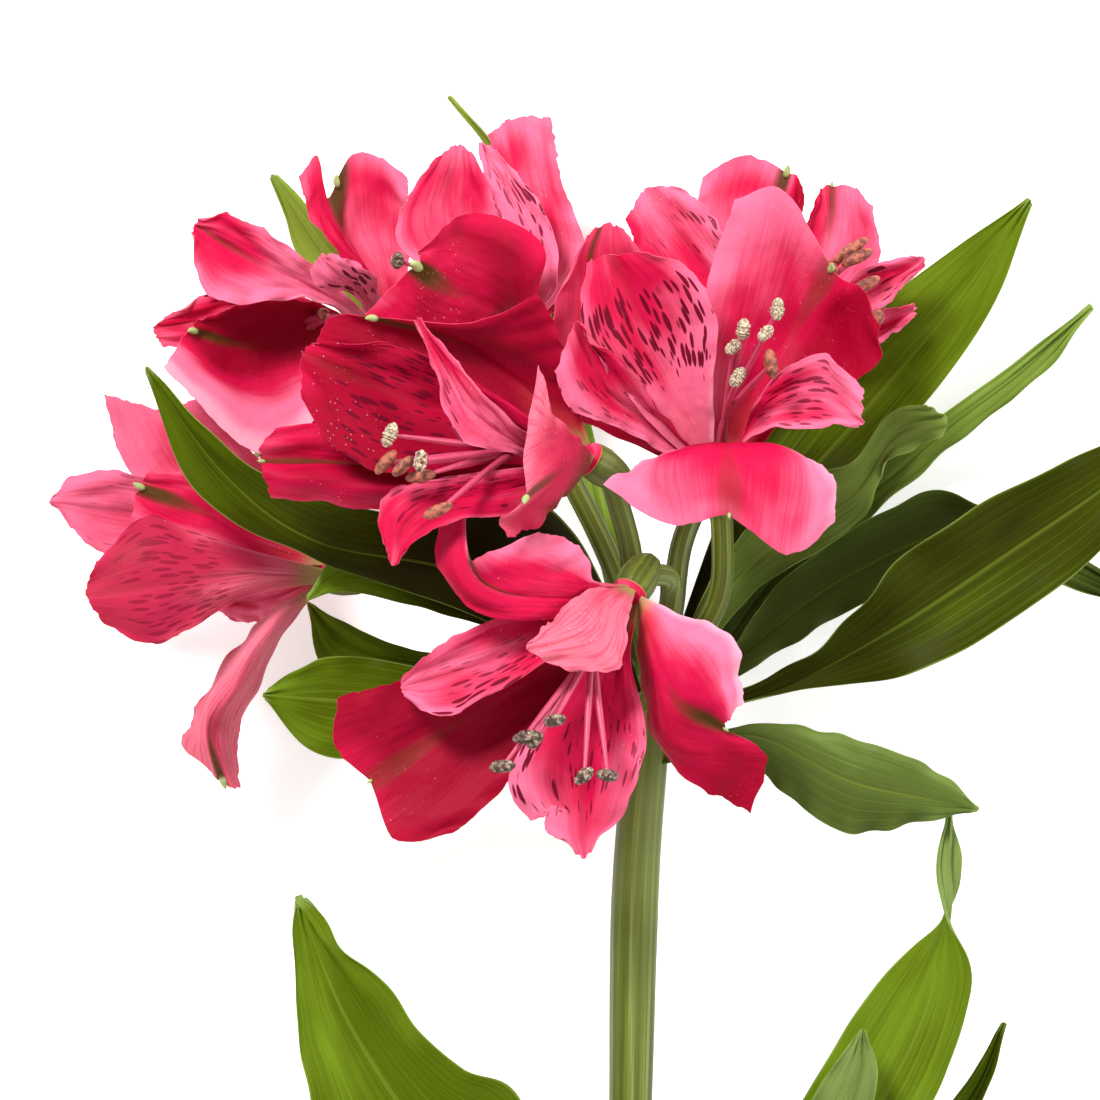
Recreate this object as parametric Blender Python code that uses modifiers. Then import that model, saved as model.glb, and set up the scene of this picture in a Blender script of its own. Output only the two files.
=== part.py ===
"""Cut alstroemeria stem with its whorl of leaves and an umbel of seven blooms, laid on its side.

Everything is placed in the plant's own frame, in millimetres: X to the right, Y up the stem and Z towards
the side that faces up once the stem is laid down. Its origin is the whorl, where the flower stalks and the
upper leaves leave the stem. An empty named plant then lays that frame down on the ground, in metres.
"""

import math

import bmesh
import bpy
import numpy as np
from mathutils import Matrix, Vector
from mathutils.bvhtree import BVHTree

# The object lies on three low points: one at the stem's cut end and one on each side of its blooms. The first
# is looked for below this height on the plant, the other two above the next, left and right of this line.
MM = 0.001
TAIL_BELOW = -200.0
HEAD_ABOVE = 0.0
SIDES_SPLIT_AT = -12.0

# Thickness of the living sheets, and the clear gap between two pieces that touch on the plant.
TEPAL_THICKNESS = 0.7
LEAF_THICKNESS = 0.7
SEAT_GAP = 0.3

# The stem, from its cut end up to the whorl.
STEM_RADIUS = 3.5
CUT_SLANT_DEG = 35.0
CUT_AT = (-14.0, -250.0)
STEM_PATH = [(*CUT_AT, 0), (-9, -190, 0), (-6, -130, 0), (-4, -80, 0), (-3, -35, 0), (-1, -8, 0), (0, 4, 2)]
STEM_SWELL = [1.0, 0.98, 0.95, 0.95, 1.05, 1.2, 1.1]

# A flower: the ovary that ends its stalk, the receptacle that carries the tepals, and the claws' ring.
OVARY_LENGTH = 8.0
OVARY_RADIUS = 3.4
RECEPTACLE_RADIUS = 3.0
RECEPTACLE_HEIGHT = 1.6
CLAW_RING_RADIUS = 2.0
STALK_RADIUS = 2.0
STALK_RINGS = 7
FILAMENT_RADIUS = 0.55
FILAMENT_RINGS = 4
ANTHER_LENGTH = 5.0
ANTHER_RADIUS = 1.3

# How finely the blades are divided, and how far a leaf's edge waves.
OUTER_ROWS = 6
INNER_ROWS = 5
OUTER_COLUMNS = 6
INNER_COLUMNS = 4
LEAF_ROWS = 9
LEAF_COLUMNS = 4
LEAF_WAVE = 0.8
WAVES_PER_EDGE = 2.5
CLAW_HALF_WIDTH = 1.2
LEAF_ROOT_HALF_WIDTH = 1.6

# Each bloom has its base and axis, the stalk's way to it, six tepals and its anthers' places. A tepal gives
# its kind, then three or five lines of points from its claw out: its left edge, its midrib between others
# where it has lobes, and its right edge, as seen on its inner face with its tip up.
OUTER, INNER = "outer", "inner"
BLOOMS = {
    "a": {
        "base": (12, 38.5, 14),
        "axis": (0.0, 0.8, 0.6),
        "throat": (12.5, 49, 23),
        "stalk": [(3, 5, 3), (8, 11, 5), (12, 20, 7)],
        "tepals": [
            (INNER, [(-3, 51, 24), (-12, 64, 31), (-11.5, 76, 28)],
                    [(4, 54, 20), (-2, 66, 24), (-11, 77, 27.5)],
                    [(10.5, 55, 24), (9.5, 67, 29), (-1, 77.2, 29)]),
            (OUTER, [(7, 55, 19), (9.5, 73, 22), (13, 84, 24)],
                    [(13, 54, 17), (18, 70, 19), (23, 88, 25)],
                    [(18, 54, 17), (25, 65, 17), (31.5, 75.3, 24)],
                    [(22, 53, 19), (32, 62, 20), (36, 71, 26)],
                    [(26, 52, 24), (39, 58, 28), (38.5, 65, 28)]),
            (INNER, [(18, 54, 29), (29, 60, 35), (36, 53, 38)],
                    [(18, 49, 27), (28, 53, 32), (35.5, 48, 38)],
                    [(17, 46, 30), (27, 47.3, 36), (35, 47.5, 38)]),
            (OUTER, [(-4, 45, 16), (-18, 53, 20), (-16.5, 67, 21)],
                    [(2, 47, 12), (-7, 59, 12), (-16.5, 72, 18)],
                    [(3, 58, 11), (-2, 74, 13), (-9, 82, 17)]),
            (INNER, [(-4, 47, 23), (-12, 52, 29), (-15, 58, 31)],
                    [(0, 48, 20), (-8, 54, 27), (-14, 61, 31)],
                    [(1, 51, 24), (-4, 58, 29), (-11, 62, 32)]),
            (OUTER, [(20, 44, 30), (31, 39.5, 36), (31, 29, 36)],
                    [(16, 44, 28), (23, 42.5, 38), (23, 25, 38)],
                    [(12, 44, 27), (12, 42.5, 38), (12, 31, 42)],
                    [(8, 44, 28), (0, 42.5, 38), (3, 30.5, 41)],
                    [(4, 43, 29), (-7, 40.5, 36), (-7.5, 36, 39)]),
        ],
        "anthers": [(15, 64, 36), (14, 61, 34), (19, 64, 38), (21.5, 68.5, 36),
                    (14.5, 56.5, 38), (20, 58, 40)],
    },
    "b": {
        "base": (-11, 42, 24),
        "axis": (-0.75, 0.45, 0.45),
        "throat": (-23, 43.5, 36),
        "stalk": [(-1, 7, 4), (-3, 17, 8), (-4, 27, 13)],
        "tepals": [
            (INNER, [(-28, 41, 34), (-46, 40, 43), (-60, 50, 46)],
                    [(-25, 46.5, 30), (-42, 52, 35), (-60.5, 60, 41)],
                    [(-24, 51, 32), (-42, 61, 38), (-57, 62, 41)]),
            (OUTER, [(-26, 50, 24), (-44, 57, 28), (-58, 58, 34)],
                    [(-22, 54, 23), (-34, 62, 25), (-49, 67, 31)],
                    [(-14, 54, 27), (-18, 69.5, 32), (-40, 67, 34)]),
            (INNER, [(-25, 47, 40), (-35, 53, 44), (-41, 65, 45)],
                    [(-21, 48, 38), (-29, 54, 43), (-41, 65.5, 44)],
                    [(-18, 49, 39), (-24, 54, 44), (-38, 63, 45)]),
            (OUTER, [(-26, 35, 34), (-45, 33.5, 38), (-64, 35.5, 37)],
                    [(-28, 39, 30), (-46, 40, 33), (-67.5, 41, 36)],
                    [(-28, 43, 33), (-46, 46, 36), (-63, 47.5, 37)]),
            (INNER, [(-23, 33, 43), (-35, 28.5, 49), (-43, 25, 50)],
                    [(-24, 37, 41), (-37, 34, 48), (-45, 24, 50)],
                    [(-27, 40, 43), (-47, 36.5, 48), (-46.5, 27, 50)]),
            (OUTER, [(-15, 36, 36), (-28, 30, 47), (-31, 34, 52)],
                    [(-12, 40, 36), (-17, 38, 48), (-22, 34, 55)],
                    [(-12, 47, 36), (-17.5, 57, 44), (-20, 46, 52)]),
        ],
        "anthers": [(-45, 46, 51), (-46, 41, 52), (-43, 40, 54),
                    (-40, 41.5, 56), (-37, 33, 60), (-41, 43.5, 52)],
    },
    "c": {
        "base": (-4, 19, 28),
        "axis": (-0.45, -0.7, 0.55),
        "throat": (-10, 10, 39),
        "stalk": [(1, 5, 6), (2.5, 13, 11), (3, 21, 16)],
        "tepals": [
            (OUTER, [(-13, 15, 40), (-30, 15.5, 45), (-37.5, 31, 41)],
                    [(-12, 18, 39), (-24, 18.5, 45), (-32, 25, 45)],
                    [(-10, 23, 39), (-19, 29, 42), (-28, 25.5, 45)]),
            (INNER, [(-14, 10, 37), (-27, 2, 41), (-37, -2.5, 39), (-43, 1, 36)],
                    [(-15, 14, 35), (-28, 7, 37), (-43.5, 2.5, 35)],
                    [(-16, 17, 36), (-30, 13.5, 39), (-40, 7.5, 37), (-43.3, 3.6, 36)]),
            (OUTER, [(-14, 2, 32), (-28, -15, 32), (-41, -24, 32)],
                    [(-17, 6, 29), (-34, -4, 29), (-50, -15, 30)],
                    [(-20, 12, 31), (-38, 5.5, 32), (-55, 0, 33)]),
            (INNER, [(-4, 7, 36), (-1.5, -5, 39), (-5, -18, 38), (-11, -25.7, 36)],
                    [(-8, 6, 35), (-12, -10, 36), (-12, -26.5, 35)],
                    [(-13, 5, 37), (-24.5, -12, 39), (-20, -22.5, 37), (-13.2, -26, 35)]),
            (OUTER, [(5, 15, 32), (13.5, 10.5, 36), (15.5, 0, 34)],
                    [(3, 12, 34), (9, 6, 38), (13.5, -4, 36)],
                    [(0, 9, 35), (4, 0, 37), (8, -6, 34)],
                    [(-1, 6, 34), (3, -6, 34), (18, -8.5, 31)],
                    [(-2, 3, 31), (3, -11, 31), (17, -19, 28)]),
            (INNER, [(-4.5, 14, 42), (-6, 6, 47), (-15, 5.5, 50)],
                    [(-8, 17, 41), (-12, 12, 48), (-21.5, 9, 51)],
                    [(-12, 19, 41), (-18, 14, 47), (-21, 10.5, 51)]),
        ],
        "anthers": [(-17, -3, 47), (-21, -6, 47), (-26, -10.5, 46),
                    (-12, -12, 49), (-8, -12, 48), (-20, -8, 50)],
    },
    "d": {
        "base": (-57, 22, -2),
        "axis": (-1.0, 0.1, 0.15),
        "throat": (-68, 22.5, -1),
        "stalk": [(-4, 5, 1), (-20, 15, -4), (-38, 21, -6)],
        "tepals": [
            (OUTER, [(-70, 28, -8), (-87, 36, -9), (-96, 51, -8)],
                    [(-68, 31, -11), (-80, 42, -13), (-92, 54, -10)],
                    [(-63, 32, -8), (-72, 47, -9), (-85, 52.5, -8)]),
            (INNER, [(-70, 25.5, -5), (-90, 25.5, -6), (-98, 26.5, -5), (-104.8, 33.8, -4)],
                    [(-70, 28, -6), (-88, 32, -8), (-105.5, 34.7, -4)],
                    [(-70, 30, -4), (-90, 39.5, -5), (-101, 39.2, -4), (-105, 35.8, -4)]),
            (INNER, [(-70, 19.5, 7), (-82, 11.5, 10), (-95, 12.5, 12)],
                    [(-70, 22, 8), (-84, 21, 12), (-97.5, 17.5, 13)],
                    [(-69, 26, 8), (-83, 33, 10), (-98, 22, 13)]),
            (OUTER, [(-70, 24, 4), (-82, 27, 5), (-91, 32, 3)],
                    [(-68, 27, 1), (-79, 33, 1), (-90, 37.2, 1)],
                    [(-67, 30, 0), (-78, 39, 0), (-88, 40, 1)]),
            (OUTER, [(-64, 10, -3), (-71.5, -4, -4), (-72, -15.5, -8)],
                    [(-67, 13, 3), (-75, -1, 3), (-75, -15, -4)],
                    [(-69, 15, -2), (-80, 1, -4), (-83, -8, -8)]),
            (INNER, [(-66, 15, -7), (-73, 9, -13), (-80, 10, -17)],
                    [(-66, 18, -9), (-74, 14, -15), (-82, 12, -18)],
                    [(-67, 22, -9), (-77, 19, -15), (-83, 15, -18)]),
        ],
        "anthers": [(-78, 20, -4), (-82, 22, -5), (-80, 17, -6),
                    (-83, 19, -8), (-77, 18, -2), (-81, 16, -3)],
    },
    "e": {
        "base": (-48, 63, -12),
        "axis": (-0.65, 0.5, 0.55),
        "throat": (-56, 67, -4),
        "stalk": [(-4, 6, -3), (-18, 26, -12), (-34, 46, -18)],
        "tepals": [
            (INNER, [(-59, 70, 0), (-72, 69.2, 5), (-78.5, 72, 7), (-80.5, 81, 6)],
                    [(-58, 71.5, -2), (-68, 76, 3), (-80, 83, 5)],
                    [(-57, 74, 0), (-66, 81, 5), (-74, 84.8, 6), (-79, 84, 6)]),
            (OUTER, [(-55, 54, -6), (-68, 43, 0), (-85.5, 58, 2)],
                    [(-60, 62, -9), (-71, 62, -6), (-81, 65, 0)],
                    [(-58, 66, -6), (-68, 70.5, -2), (-78, 67, 0)]),
            (INNER, [(-62, 65, -13), (-75, 62, -13), (-86, 62, -11)],
                    [(-62, 68, -13), (-75, 67, -14), (-87.5, 65.3, -11)],
                    [(-62, 71, -12), (-74, 72.5, -12), (-84, 68, -11)]),
            (OUTER, [(-52, 74.5, -8), (-60, 85, -8), (-62, 92.5, -7)],
                    [(-50, 74, -9), (-57.5, 84, -9), (-59, 95, -8)],
                    [(-48, 73, -11), (-53, 81, -12), (-55, 86.5, -11)],
                    [(-46, 73, -11), (-49, 83, -13), (-52, 95.5, -12)],
                    [(-43.5, 73, -10), (-42.5, 83, -11), (-45, 92.5, -11)]),
            (INNER, [(-52.5, 71, -1), (-58, 72, 4), (-60, 75, 6)],
                    [(-51, 72, -2), (-55, 74.5, 4), (-58, 77.5, 6)],
                    [(-48, 73, -1), (-51, 76, 4), (-56, 78, 6)]),
            (OUTER, [(-51, 52, -17), (-57, 41, -26), (-64, 37, -33)],
                    [(-54, 57, -20), (-62, 50, -29), (-70, 43, -35)],
                    [(-58, 62, -18), (-70, 58, -26), (-74, 49, -33)]),
        ],
        "anthers": [(-63, 66.5, 5), (-66, 67.5, 4), (-61, 68, 8),
                    (-65, 70, 10), (-59, 66, 6), (-62, 71, 11)],
    },
    "f": {
        "base": (-25, 62, -6),
        "axis": (-0.25, 0.9, 0.2),
        "throat": (-28, 71, -2),
        "stalk": [(-1, 7, -4), (-8, 26, -12), (-17, 44, -13)],
        "tepals": [
            (INNER, [(-32, 72, -4), (-44.5, 83, -5), (-39, 94, -7)],
                    [(-30, 74, -6), (-36, 85, -8), (-35, 97, -8)],
                    [(-27, 76, -5), (-27.5, 87, -7), (-31, 95.5, -8)]),
            (OUTER, [(-24, 76, -13), (-27, 88, -16), (-29, 100, -18)],
                    [(-20, 76, -14), (-22, 90, -18), (-24, 103.5, -19)],
                    [(-14, 75, -12), (-14, 86, -15), (-18, 103, -18)]),
            (OUTER, [(-27, 62, 9), (-40, 61, 13), (-51, 66, 16)],
                    [(-27, 68, 5), (-36, 72, 11), (-41.5, 76, 16)],
                    [(-20, 74, 2), (-24, 83.5, 5), (-34, 85, 10), (-40, 78.5, 15)]),
            (INNER, [(-23, 74, -4), (-27, 85, -7), (-29.6, 96, -11)],
                    [(-20, 74, -6), (-23, 85, -10), (-29.8, 98, -12)],
                    [(-16.5, 74, -4), (-19, 86, -8), (-27, 96, -11)]),
            (INNER, [(-21, 71, -14), (-21, 78, -20), (-18, 86, -23)],
                    [(-19, 70, -14), (-17, 78, -21), (-15, 86, -24)],
                    [(-16, 70, -12), (-13.5, 78, -18), (-14, 85, -22)]),
            (OUTER, [(-31, 68, -13), (-40, 77, -18), (-38, 86, -21)],
                    [(-27, 69, -14), (-31, 78, -21), (-33, 87, -23)],
                    [(-24, 70, -14), (-24, 80, -20), (-27, 88, -23)]),
        ],
        "anthers": [(-45, 76, 5), (-33, 78, 1), (-28, 79, -1), (-36, 78, 2), (-31, 76, 1), (-26, 77, -1)],
    },
    "g": {
        "base": (21, 60, -16),
        "axis": (0.3, 0.85, 0.2),
        "throat": (25.5, 69, -12.5),
        "stalk": [(1, 6, -2), (3.5, 15, -4), (5.5, 28, -9), (12, 42, -15)],
        "tepals": [
            (OUTER, [(15, 73, -18), (8, 84, -20), (8.5, 92.5, -20)],
                    [(20, 73, -20), (18, 85, -22), (18, 95.5, -22)],
                    [(24, 73, -18), (26, 83, -20), (25.5, 93.3, -21)]),
            (INNER, [(11, 66, -11), (-1, 76, -10), (-4.5, 86, -12)],
                    [(14, 70, -13), (7, 79, -13), (0, 90, -13)],
                    [(17, 73, -12), (14, 82, -11), (6, 90, -12)]),
            (OUTER, [(25, 73, -15), (26, 82, -15), (29.5, 90, -17)],
                    [(28, 71, -16), (33, 80, -17), (34.5, 90.5, -18)],
                    [(33, 69, -14), (40, 77, -15), (38.5, 88.5, -17)]),
            (INNER, [(30, 68, -12), (37, 75.5, -9), (46, 78, -8)],
                    [(30, 66.5, -13), (39, 72, -11), (48, 77.3, -8)],
                    [(30, 64, -12), (40, 68.5, -10), (47, 75, -8)]),
            (OUTER, [(30, 65, -15), (38, 68, -14), (46, 70, -11)],
                    [(30, 62, -16), (38, 64, -14), (46.5, 69, -12)],
                    [(28, 58, -15), (37, 60, -14), (44, 65, -12)]),
            (INNER, [(21, 70, -22), (22, 77, -29), (29, 82, -36)],
                    [(24, 69, -24), (28, 76, -31), (33, 81, -37)],
                    [(27, 67, -22), (34, 72, -28), (36, 79, -35)]),
        ],
        "anthers": [(35, 78, -5), (35, 74, -3), (39, 73, -2), (28, 78.5, -5), (31, 76, -5), (40, 66, -3)],
    },
}

# Each leaf gives its root on the stem, then its left edge, midrib and right edge in the same way.
LEAVES = {
    "over_bloom_d": ((-3.2, 1, 4.5),
                     [(-32, 15, 17), (-58, 24.5, 20), (-79, 36, 23), (-88, 57, 22)],
                     [(-30, 21, 18), (-58, 27.5, 20), (-74, 39, 22), (-88, 58, 22)],
                     [(-28, 31, 16), (-50, 33.5, 19), (-70, 41, 23), (-87.5, 58, 22)]),
    "curled_left": ((-5.5, -1.5, 1.5),
                    [(-22, 10, 8), (-40, 16, 11), (-53, 19, 13), (-60, 17.5, 17)],
                    [(-20, 13, 7), (-38, 21, 10), (-53, 23, 12), (-60, 18, 17)],
                    [(-18, 17, 8), (-38, 26, 11), (-53, 27, 13), (-60, 18.5, 17)]),
    "broad_left": ((-5.5, -8.5, 1.5),
                   [(-22, -6, 3), (-40, -9, 4), (-58, -9.5, 5), (-67.5, 0, 6)],
                   [(-22, -3, 2), (-42, -1, 3), (-57, 0, 4), (-68, 1, 6)],
                   [(-22, 0, 3), (-42, 6, 4), (-57, 7.5, 5), (-67, 2, 6)]),
    "left_corner": ((-5.2, -5, -1.8),
                    [(-22, 2, -5), (-40, 2.5, -7), (-57, 5, -9), (-60.3, 16, -9)],
                    [(-22, 4, -6), (-40, 6, -8), (-53, 9, -9), (-60.5, 17, -9)],
                    [(-22, 6, -5), (-41, 8.5, -7), (-52, 12.5, -8), (-60, 17, -9)]),
    "upper_left": ((-3.5, 1, -3.5),
                   [(-31, 41, -26), (-49, 62, -27), (-61, 78, -24), (-67.3, 91.5, -20)],
                   [(-28, 42, -27), (-46, 64, -28), (-58, 79, -25), (-67, 92.5, -20)],
                   [(-25, 43, -26), (-43, 66, -27), (-54.5, 80, -24), (-66, 92.3, -20)]),
    "thin_top": ((-0.5, -4, -5),
                 [(-14, 44, -25), (-22, 70, -28), (-29.5, 93, -28), (-36, 106.2, -25)],
                 [(-12, 45, -26), (-20, 71, -29), (-28.5, 93.5, -29), (-35.7, 106.5, -25)],
                 [(-10, 46, -25), (-18, 72, -28), (-27.5, 94, -28), (-35.3, 106.3, -25)]),
    "behind_bloom_a": ((3, 0, -4.5),
                       [(16, 33, -20), (32, 58, -22), (48, 74, -18), (66, 88, -12)],
                       [(20, 30, -19), (37, 50, -21), (53, 69, -18), (66.5, 88, -12)],
                       [(26, 30, -18), (43, 46, -20), (59, 67, -17), (67, 87, -12)]),
    "narrow_right": ((2, -7, -4.5),
                     [(22, 27, -26), (42, 44.5, -26), (60, 56, -20), (77, 69.3, -14)],
                     [(24, 24, -26), (43, 40.5, -26), (63, 55.5, -20), (77.5, 69.3, -14)],
                     [(26, 21, -25), (47, 39, -25), (68, 57.5, -19), (77.7, 68.6, -14)]),
    "curled_right": ((4.8, 2, -1.5),
                     [(12, 24, -3), (24, 38, -3), (38, 48, 1), (50, 52, 5)],
                     [(14, 20, -3), (28, 33, -4), (39, 43, 0), (51.5, 48.5, 5)],
                     [(18, 18, -3), (32, 29, -4), (42, 38, -1), (51, 46, 4)]),
    "big_right": ((4.5, -3, 3.8),
                  [(20, 6, 10), (40, 25, 14), (66, 40, 12), (93, 50.5, 4)],
                  [(22, 3, 9), (42, 16, 12), (66, 30, 11), (94, 50, 4)],
                  [(26, 1, 10), (50, 8, 13), (72, 25, 12), (94, 49, 4)]),
    "behind_big_right": ((4.8, -4, -1.8),
                         [(14, 11, -5), (30, 27, -9), (54, 36, -12), (84, 20, -8)],
                         [(17, 9, -4), (35, 22, -9), (56, 29, -12), (84, 18, -8)],
                         [(20, 7, -4), (38, 17, -9), (60, 22, -11), (83, 17, -8)]),
    "lower_right": ((4.5, -10, 3),
                    [(20, -4, 7), (38, -7.5, 8), (50, -12.5, 8), (56.5, -18.5, 8)],
                    [(17, -6, 8), (34, -14, 10), (47, -17, 10), (57, -19, 8)],
                    [(14, -9.5, 7), (32, -22.5, 8), (45, -21.5, 8), (56, -19.3, 8)]),
    "stem_left": ((-10.3, -112, 0),
                  [(-26, -107, 8), (-52, -91, 14), (-61, -62, 14), (-62.5, -36, 11)],
                  [(-22, -100, 6), (-38, -79, 11), (-53, -56, 12), (-62, -34, 10)],
                  [(-13, -95, 6), (-24, -69.5, 12), (-44, -52, 13), (-61, -35, 11)]),
    "stem_right": ((0.5, -118, 0),
                   [(13, -92, 6), (29, -65, 9), (39, -49.5, 9), (51.5, -37, 4), (53, -28, 3), (52.2, -18, 4)],
                   [(18, -97, 5), (36, -76, 8), (47, -56, 8), (51.5, -37, 6), (51.5, -28, 5), (52, -18, 4)],
                   [(23, -103, 5), (45, -77, 9), (55.5, -51, 9),
                    (51.5, -37, 8), (50, -28, 6), (51.8, -18, 4)]),
    "stem_small": ((-2, -108, 5),
                   [(9, -92, 13), (24, -74, 16), (31, -64, 17), (36, -57.3, 16)],
                   [(12, -94, 13), (28, -77, 15), (34.5, -66, 16), (36.5, -57, 16)],
                   [(15, -97, 13), (33, -80, 16), (39, -67, 17), (37, -57.3, 16)]),
    "stem_thin": ((-1, -126, -4.5),
                  [(26, -98, -9), (42, -81, -10), (54, -69, -9), (61.5, -56.7, -8)],
                  [(28, -101, -10), (44, -83, -11), (56, -70, -10), (62, -56.7, -8)],
                  [(31, -104, -9), (48, -85, -10), (58, -70.5, -9), (62.3, -57, -8)]),
    "stem_lowest": ((-13, -162, 0),
                    [(-33, -150, 5), (-56, -133, 6), (-66, -112, 5), (-70, -97, 2)],
                    [(-31, -143, 4), (-50, -125, 5), (-62, -109, 4), (-70, -97, 2)],
                    [(-28, -136, 5), (-44, -116, 6), (-58, -104, 5), (-69.5, -97, 2)]),
}


def smooth_path(points, count):
    """Count points, evenly spaced, along a Catmull-Rom curve through the given ones."""
    knots = np.array(points, float)
    ends = [2 * knots[0] - knots[1], 2 * knots[-1] - knots[-2]]
    knots = np.vstack([ends[0], knots, ends[1]])
    dense = []
    for before, start, end, after in zip(knots, knots[1:], knots[2:], knots[3:]):
        for t in np.linspace(0, 1, 16, endpoint=False):
            dense.append(
                0.5 * (2 * start + (end - before) * t
                       + (2 * before - 5 * start + 4 * end - after) * t**2
                       + (3 * start - before - 3 * end + after) * t**3)
            )
    dense = np.array(dense + [knots[-2]])
    along = np.concatenate([[0], np.cumsum(np.linalg.norm(np.diff(dense, axis=0), axis=1))])
    wanted = np.linspace(0, along[-1], count)
    return np.column_stack([np.interp(wanted, along, dense[:, k]) for k in range(3)])


def unit(vectors):
    return vectors / np.maximum(np.linalg.norm(vectors, axis=-1, keepdims=True), 1e-9)


def smooth_step(x):
    x = np.clip(x, 0, 1)
    return x * x * (3 - 2 * x)


def across(lines, s):
    """The points at s, from -1 on the first line to 1 on the last, on Catmull-Rom curves through them all."""
    knots = [2 * lines[0] - lines[1]] + lines + [2 * lines[-1] - lines[-2]]
    place = (s + 1) / 2 * (len(lines) - 1)
    k = min(int(place), len(lines) - 2)
    t = place - k
    before, start, end, after = knots[k:k + 4]
    return 0.5 * (2 * start + (end - before) * t
                  + (2 * before - 5 * start + 4 * end - after) * t**2
                  + (3 * start - before - 3 * end + after) * t**3)


def blade_points(edges, rows, columns, wave):
    """A grid of points, rows along the blade and columns across it, through its lines."""
    lines = [smooth_path(edge, rows + 1) for edge in edges]
    along = unit(np.gradient(lines[len(lines) // 2], axis=0))
    face = unit(np.cross(lines[0] - lines[-1], along) + 1e-6)
    t = np.linspace(0, 1, rows + 1)
    ripple = wave * np.sin(math.tau * WAVES_PER_EDGE * t) * smooth_step(t / 0.3) * smooth_step((1 - t) / 0.15)
    grid = np.zeros((rows + 1, columns + 1, 3))
    for j, s in enumerate(np.linspace(-1, 1, columns + 1)):
        sign = 1 if s < 0 else -1
        grid[:, j] = across(lines, s) + face * (ripple * sign * s * s)[:, None]
    return grid


def sheet_object(name, grid, thickness):
    """A closed sheet around a grid of points, split into triangles alike on both faces."""
    rows, columns = grid.shape[:2]
    mesh = bpy.data.meshes.new(name)
    work = bmesh.new()
    verts = [[work.verts.new(grid[i, j]) for j in range(columns)] for i in range(rows)]
    for i in range(rows - 1):
        for j in range(columns - 1):
            work.faces.new((verts[i][j], verts[i][j + 1], verts[i + 1][j + 1], verts[i + 1][j]))
    bmesh.ops.triangulate(work, faces=work.faces)
    work.to_mesh(mesh)
    work.free()
    sheet = bpy.data.objects.new(name, mesh)
    solid = sheet.modifiers.new("thickness", "SOLIDIFY")
    solid.thickness = thickness
    solid.offset = 0
    return sheet


def tube_object(name, points, radii, resolution):
    """A round stalk along the points: a bevelled curve, made a closed mesh so that it can be joined."""
    curve = bpy.data.curves.new(name, "CURVE")
    curve.dimensions = "3D"
    curve.bevel_depth = 1
    curve.bevel_resolution = resolution
    curve.use_fill_caps = True
    spline = curve.splines.new("POLY")
    spline.points.add(len(points) - 1)
    for knot, point, radius in zip(spline.points, points, radii):
        knot.co = (*point, 1)
        knot.radius = radius
    guide = bpy.data.objects.new(name + "_curve", curve)
    bpy.context.scene.collection.objects.link(guide)
    made = bpy.data.meshes.new_from_object(guide.evaluated_get(bpy.context.evaluated_depsgraph_get()))
    work = bmesh.new()
    work.from_mesh(made)
    bmesh.ops.remove_doubles(work, verts=work.verts, dist=0.0001)
    bmesh.ops.recalc_face_normals(work, faces=work.faces)
    work.to_mesh(made)
    work.free()
    bpy.data.objects.remove(guide)
    bpy.data.curves.remove(curve)
    return bpy.data.objects.new(name, made)


def ball_object(name, centre, direction, length, radius, segments, rings):
    """An egg shape along a direction."""
    mesh = bpy.data.meshes.new(name)
    work = bmesh.new()
    turn = Vector(direction).to_track_quat("Z", "Y").to_matrix().to_4x4()
    place = Matrix.Translation(centre) @ turn @ Matrix.Diagonal((radius, radius, length / 2, 1))
    bmesh.ops.create_uvsphere(work, u_segments=segments, v_segments=rings, radius=1, matrix=place)
    work.to_mesh(mesh)
    work.free()
    return bpy.data.objects.new(name, mesh)


def disc_object(name, centre, direction, height, radius, segments):
    """A short round plug from its centre along a direction."""
    mesh = bpy.data.meshes.new(name)
    work = bmesh.new()
    turn = Vector(direction).to_track_quat("Z", "Y").to_matrix().to_4x4()
    middle = Vector(centre) + Vector(direction).normalized() * (height / 2)
    place = Matrix.Translation(middle) @ turn
    bmesh.ops.create_cone(work, cap_ends=True, segments=segments, radius1=radius, radius2=radius, depth=height,
                          matrix=place)
    work.to_mesh(mesh)
    work.free()
    return bpy.data.objects.new(name, mesh)


def fused(body, others):
    """The body joined with the other solids into one, with the others removed."""
    scene = bpy.context.scene.collection
    scene.objects.link(body)
    group = bpy.data.collections.new(body.name + "_joined")
    scene.children.link(group)
    for other in others:
        group.objects.link(other)
    union = body.modifiers.new("join", "BOOLEAN")
    union.operation = "UNION"
    union.operand_type = "COLLECTION"
    union.collection = group
    union.solver = "MANIFOLD"
    made = bpy.data.meshes.new_from_object(body.evaluated_get(bpy.context.evaluated_depsgraph_get()))
    body.modifiers.clear()
    body.data = made
    scene.objects.unlink(body)
    for other in others:
        bpy.data.objects.remove(other)
    bpy.data.collections.remove(group)
    return body


def bloom_frame(bloom):
    base = np.array(bloom["base"], float)
    return base, unit(np.array(bloom["axis"], float))


def tepal_edges(bloom, lines):
    """The tepal's lines, started at its narrow claw on the receptacle's ring."""
    base, axis = bloom_frame(bloom)
    out = np.array(lines[len(lines) // 2][0], float) - base
    out = unit(out - (out @ axis) * axis)
    side = np.array(lines[0][0], float) - np.array(lines[-1][0], float)
    side = unit(side - (side @ axis) * axis - (side @ out) * out)
    root = base + axis * (RECEPTACLE_HEIGHT * 0.4) + out * CLAW_RING_RADIUS
    shares = np.linspace(CLAW_HALF_WIDTH, -CLAW_HALF_WIDTH, len(lines))
    return [[root + side * share] + line for share, line in zip(shares, lines)]


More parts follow.
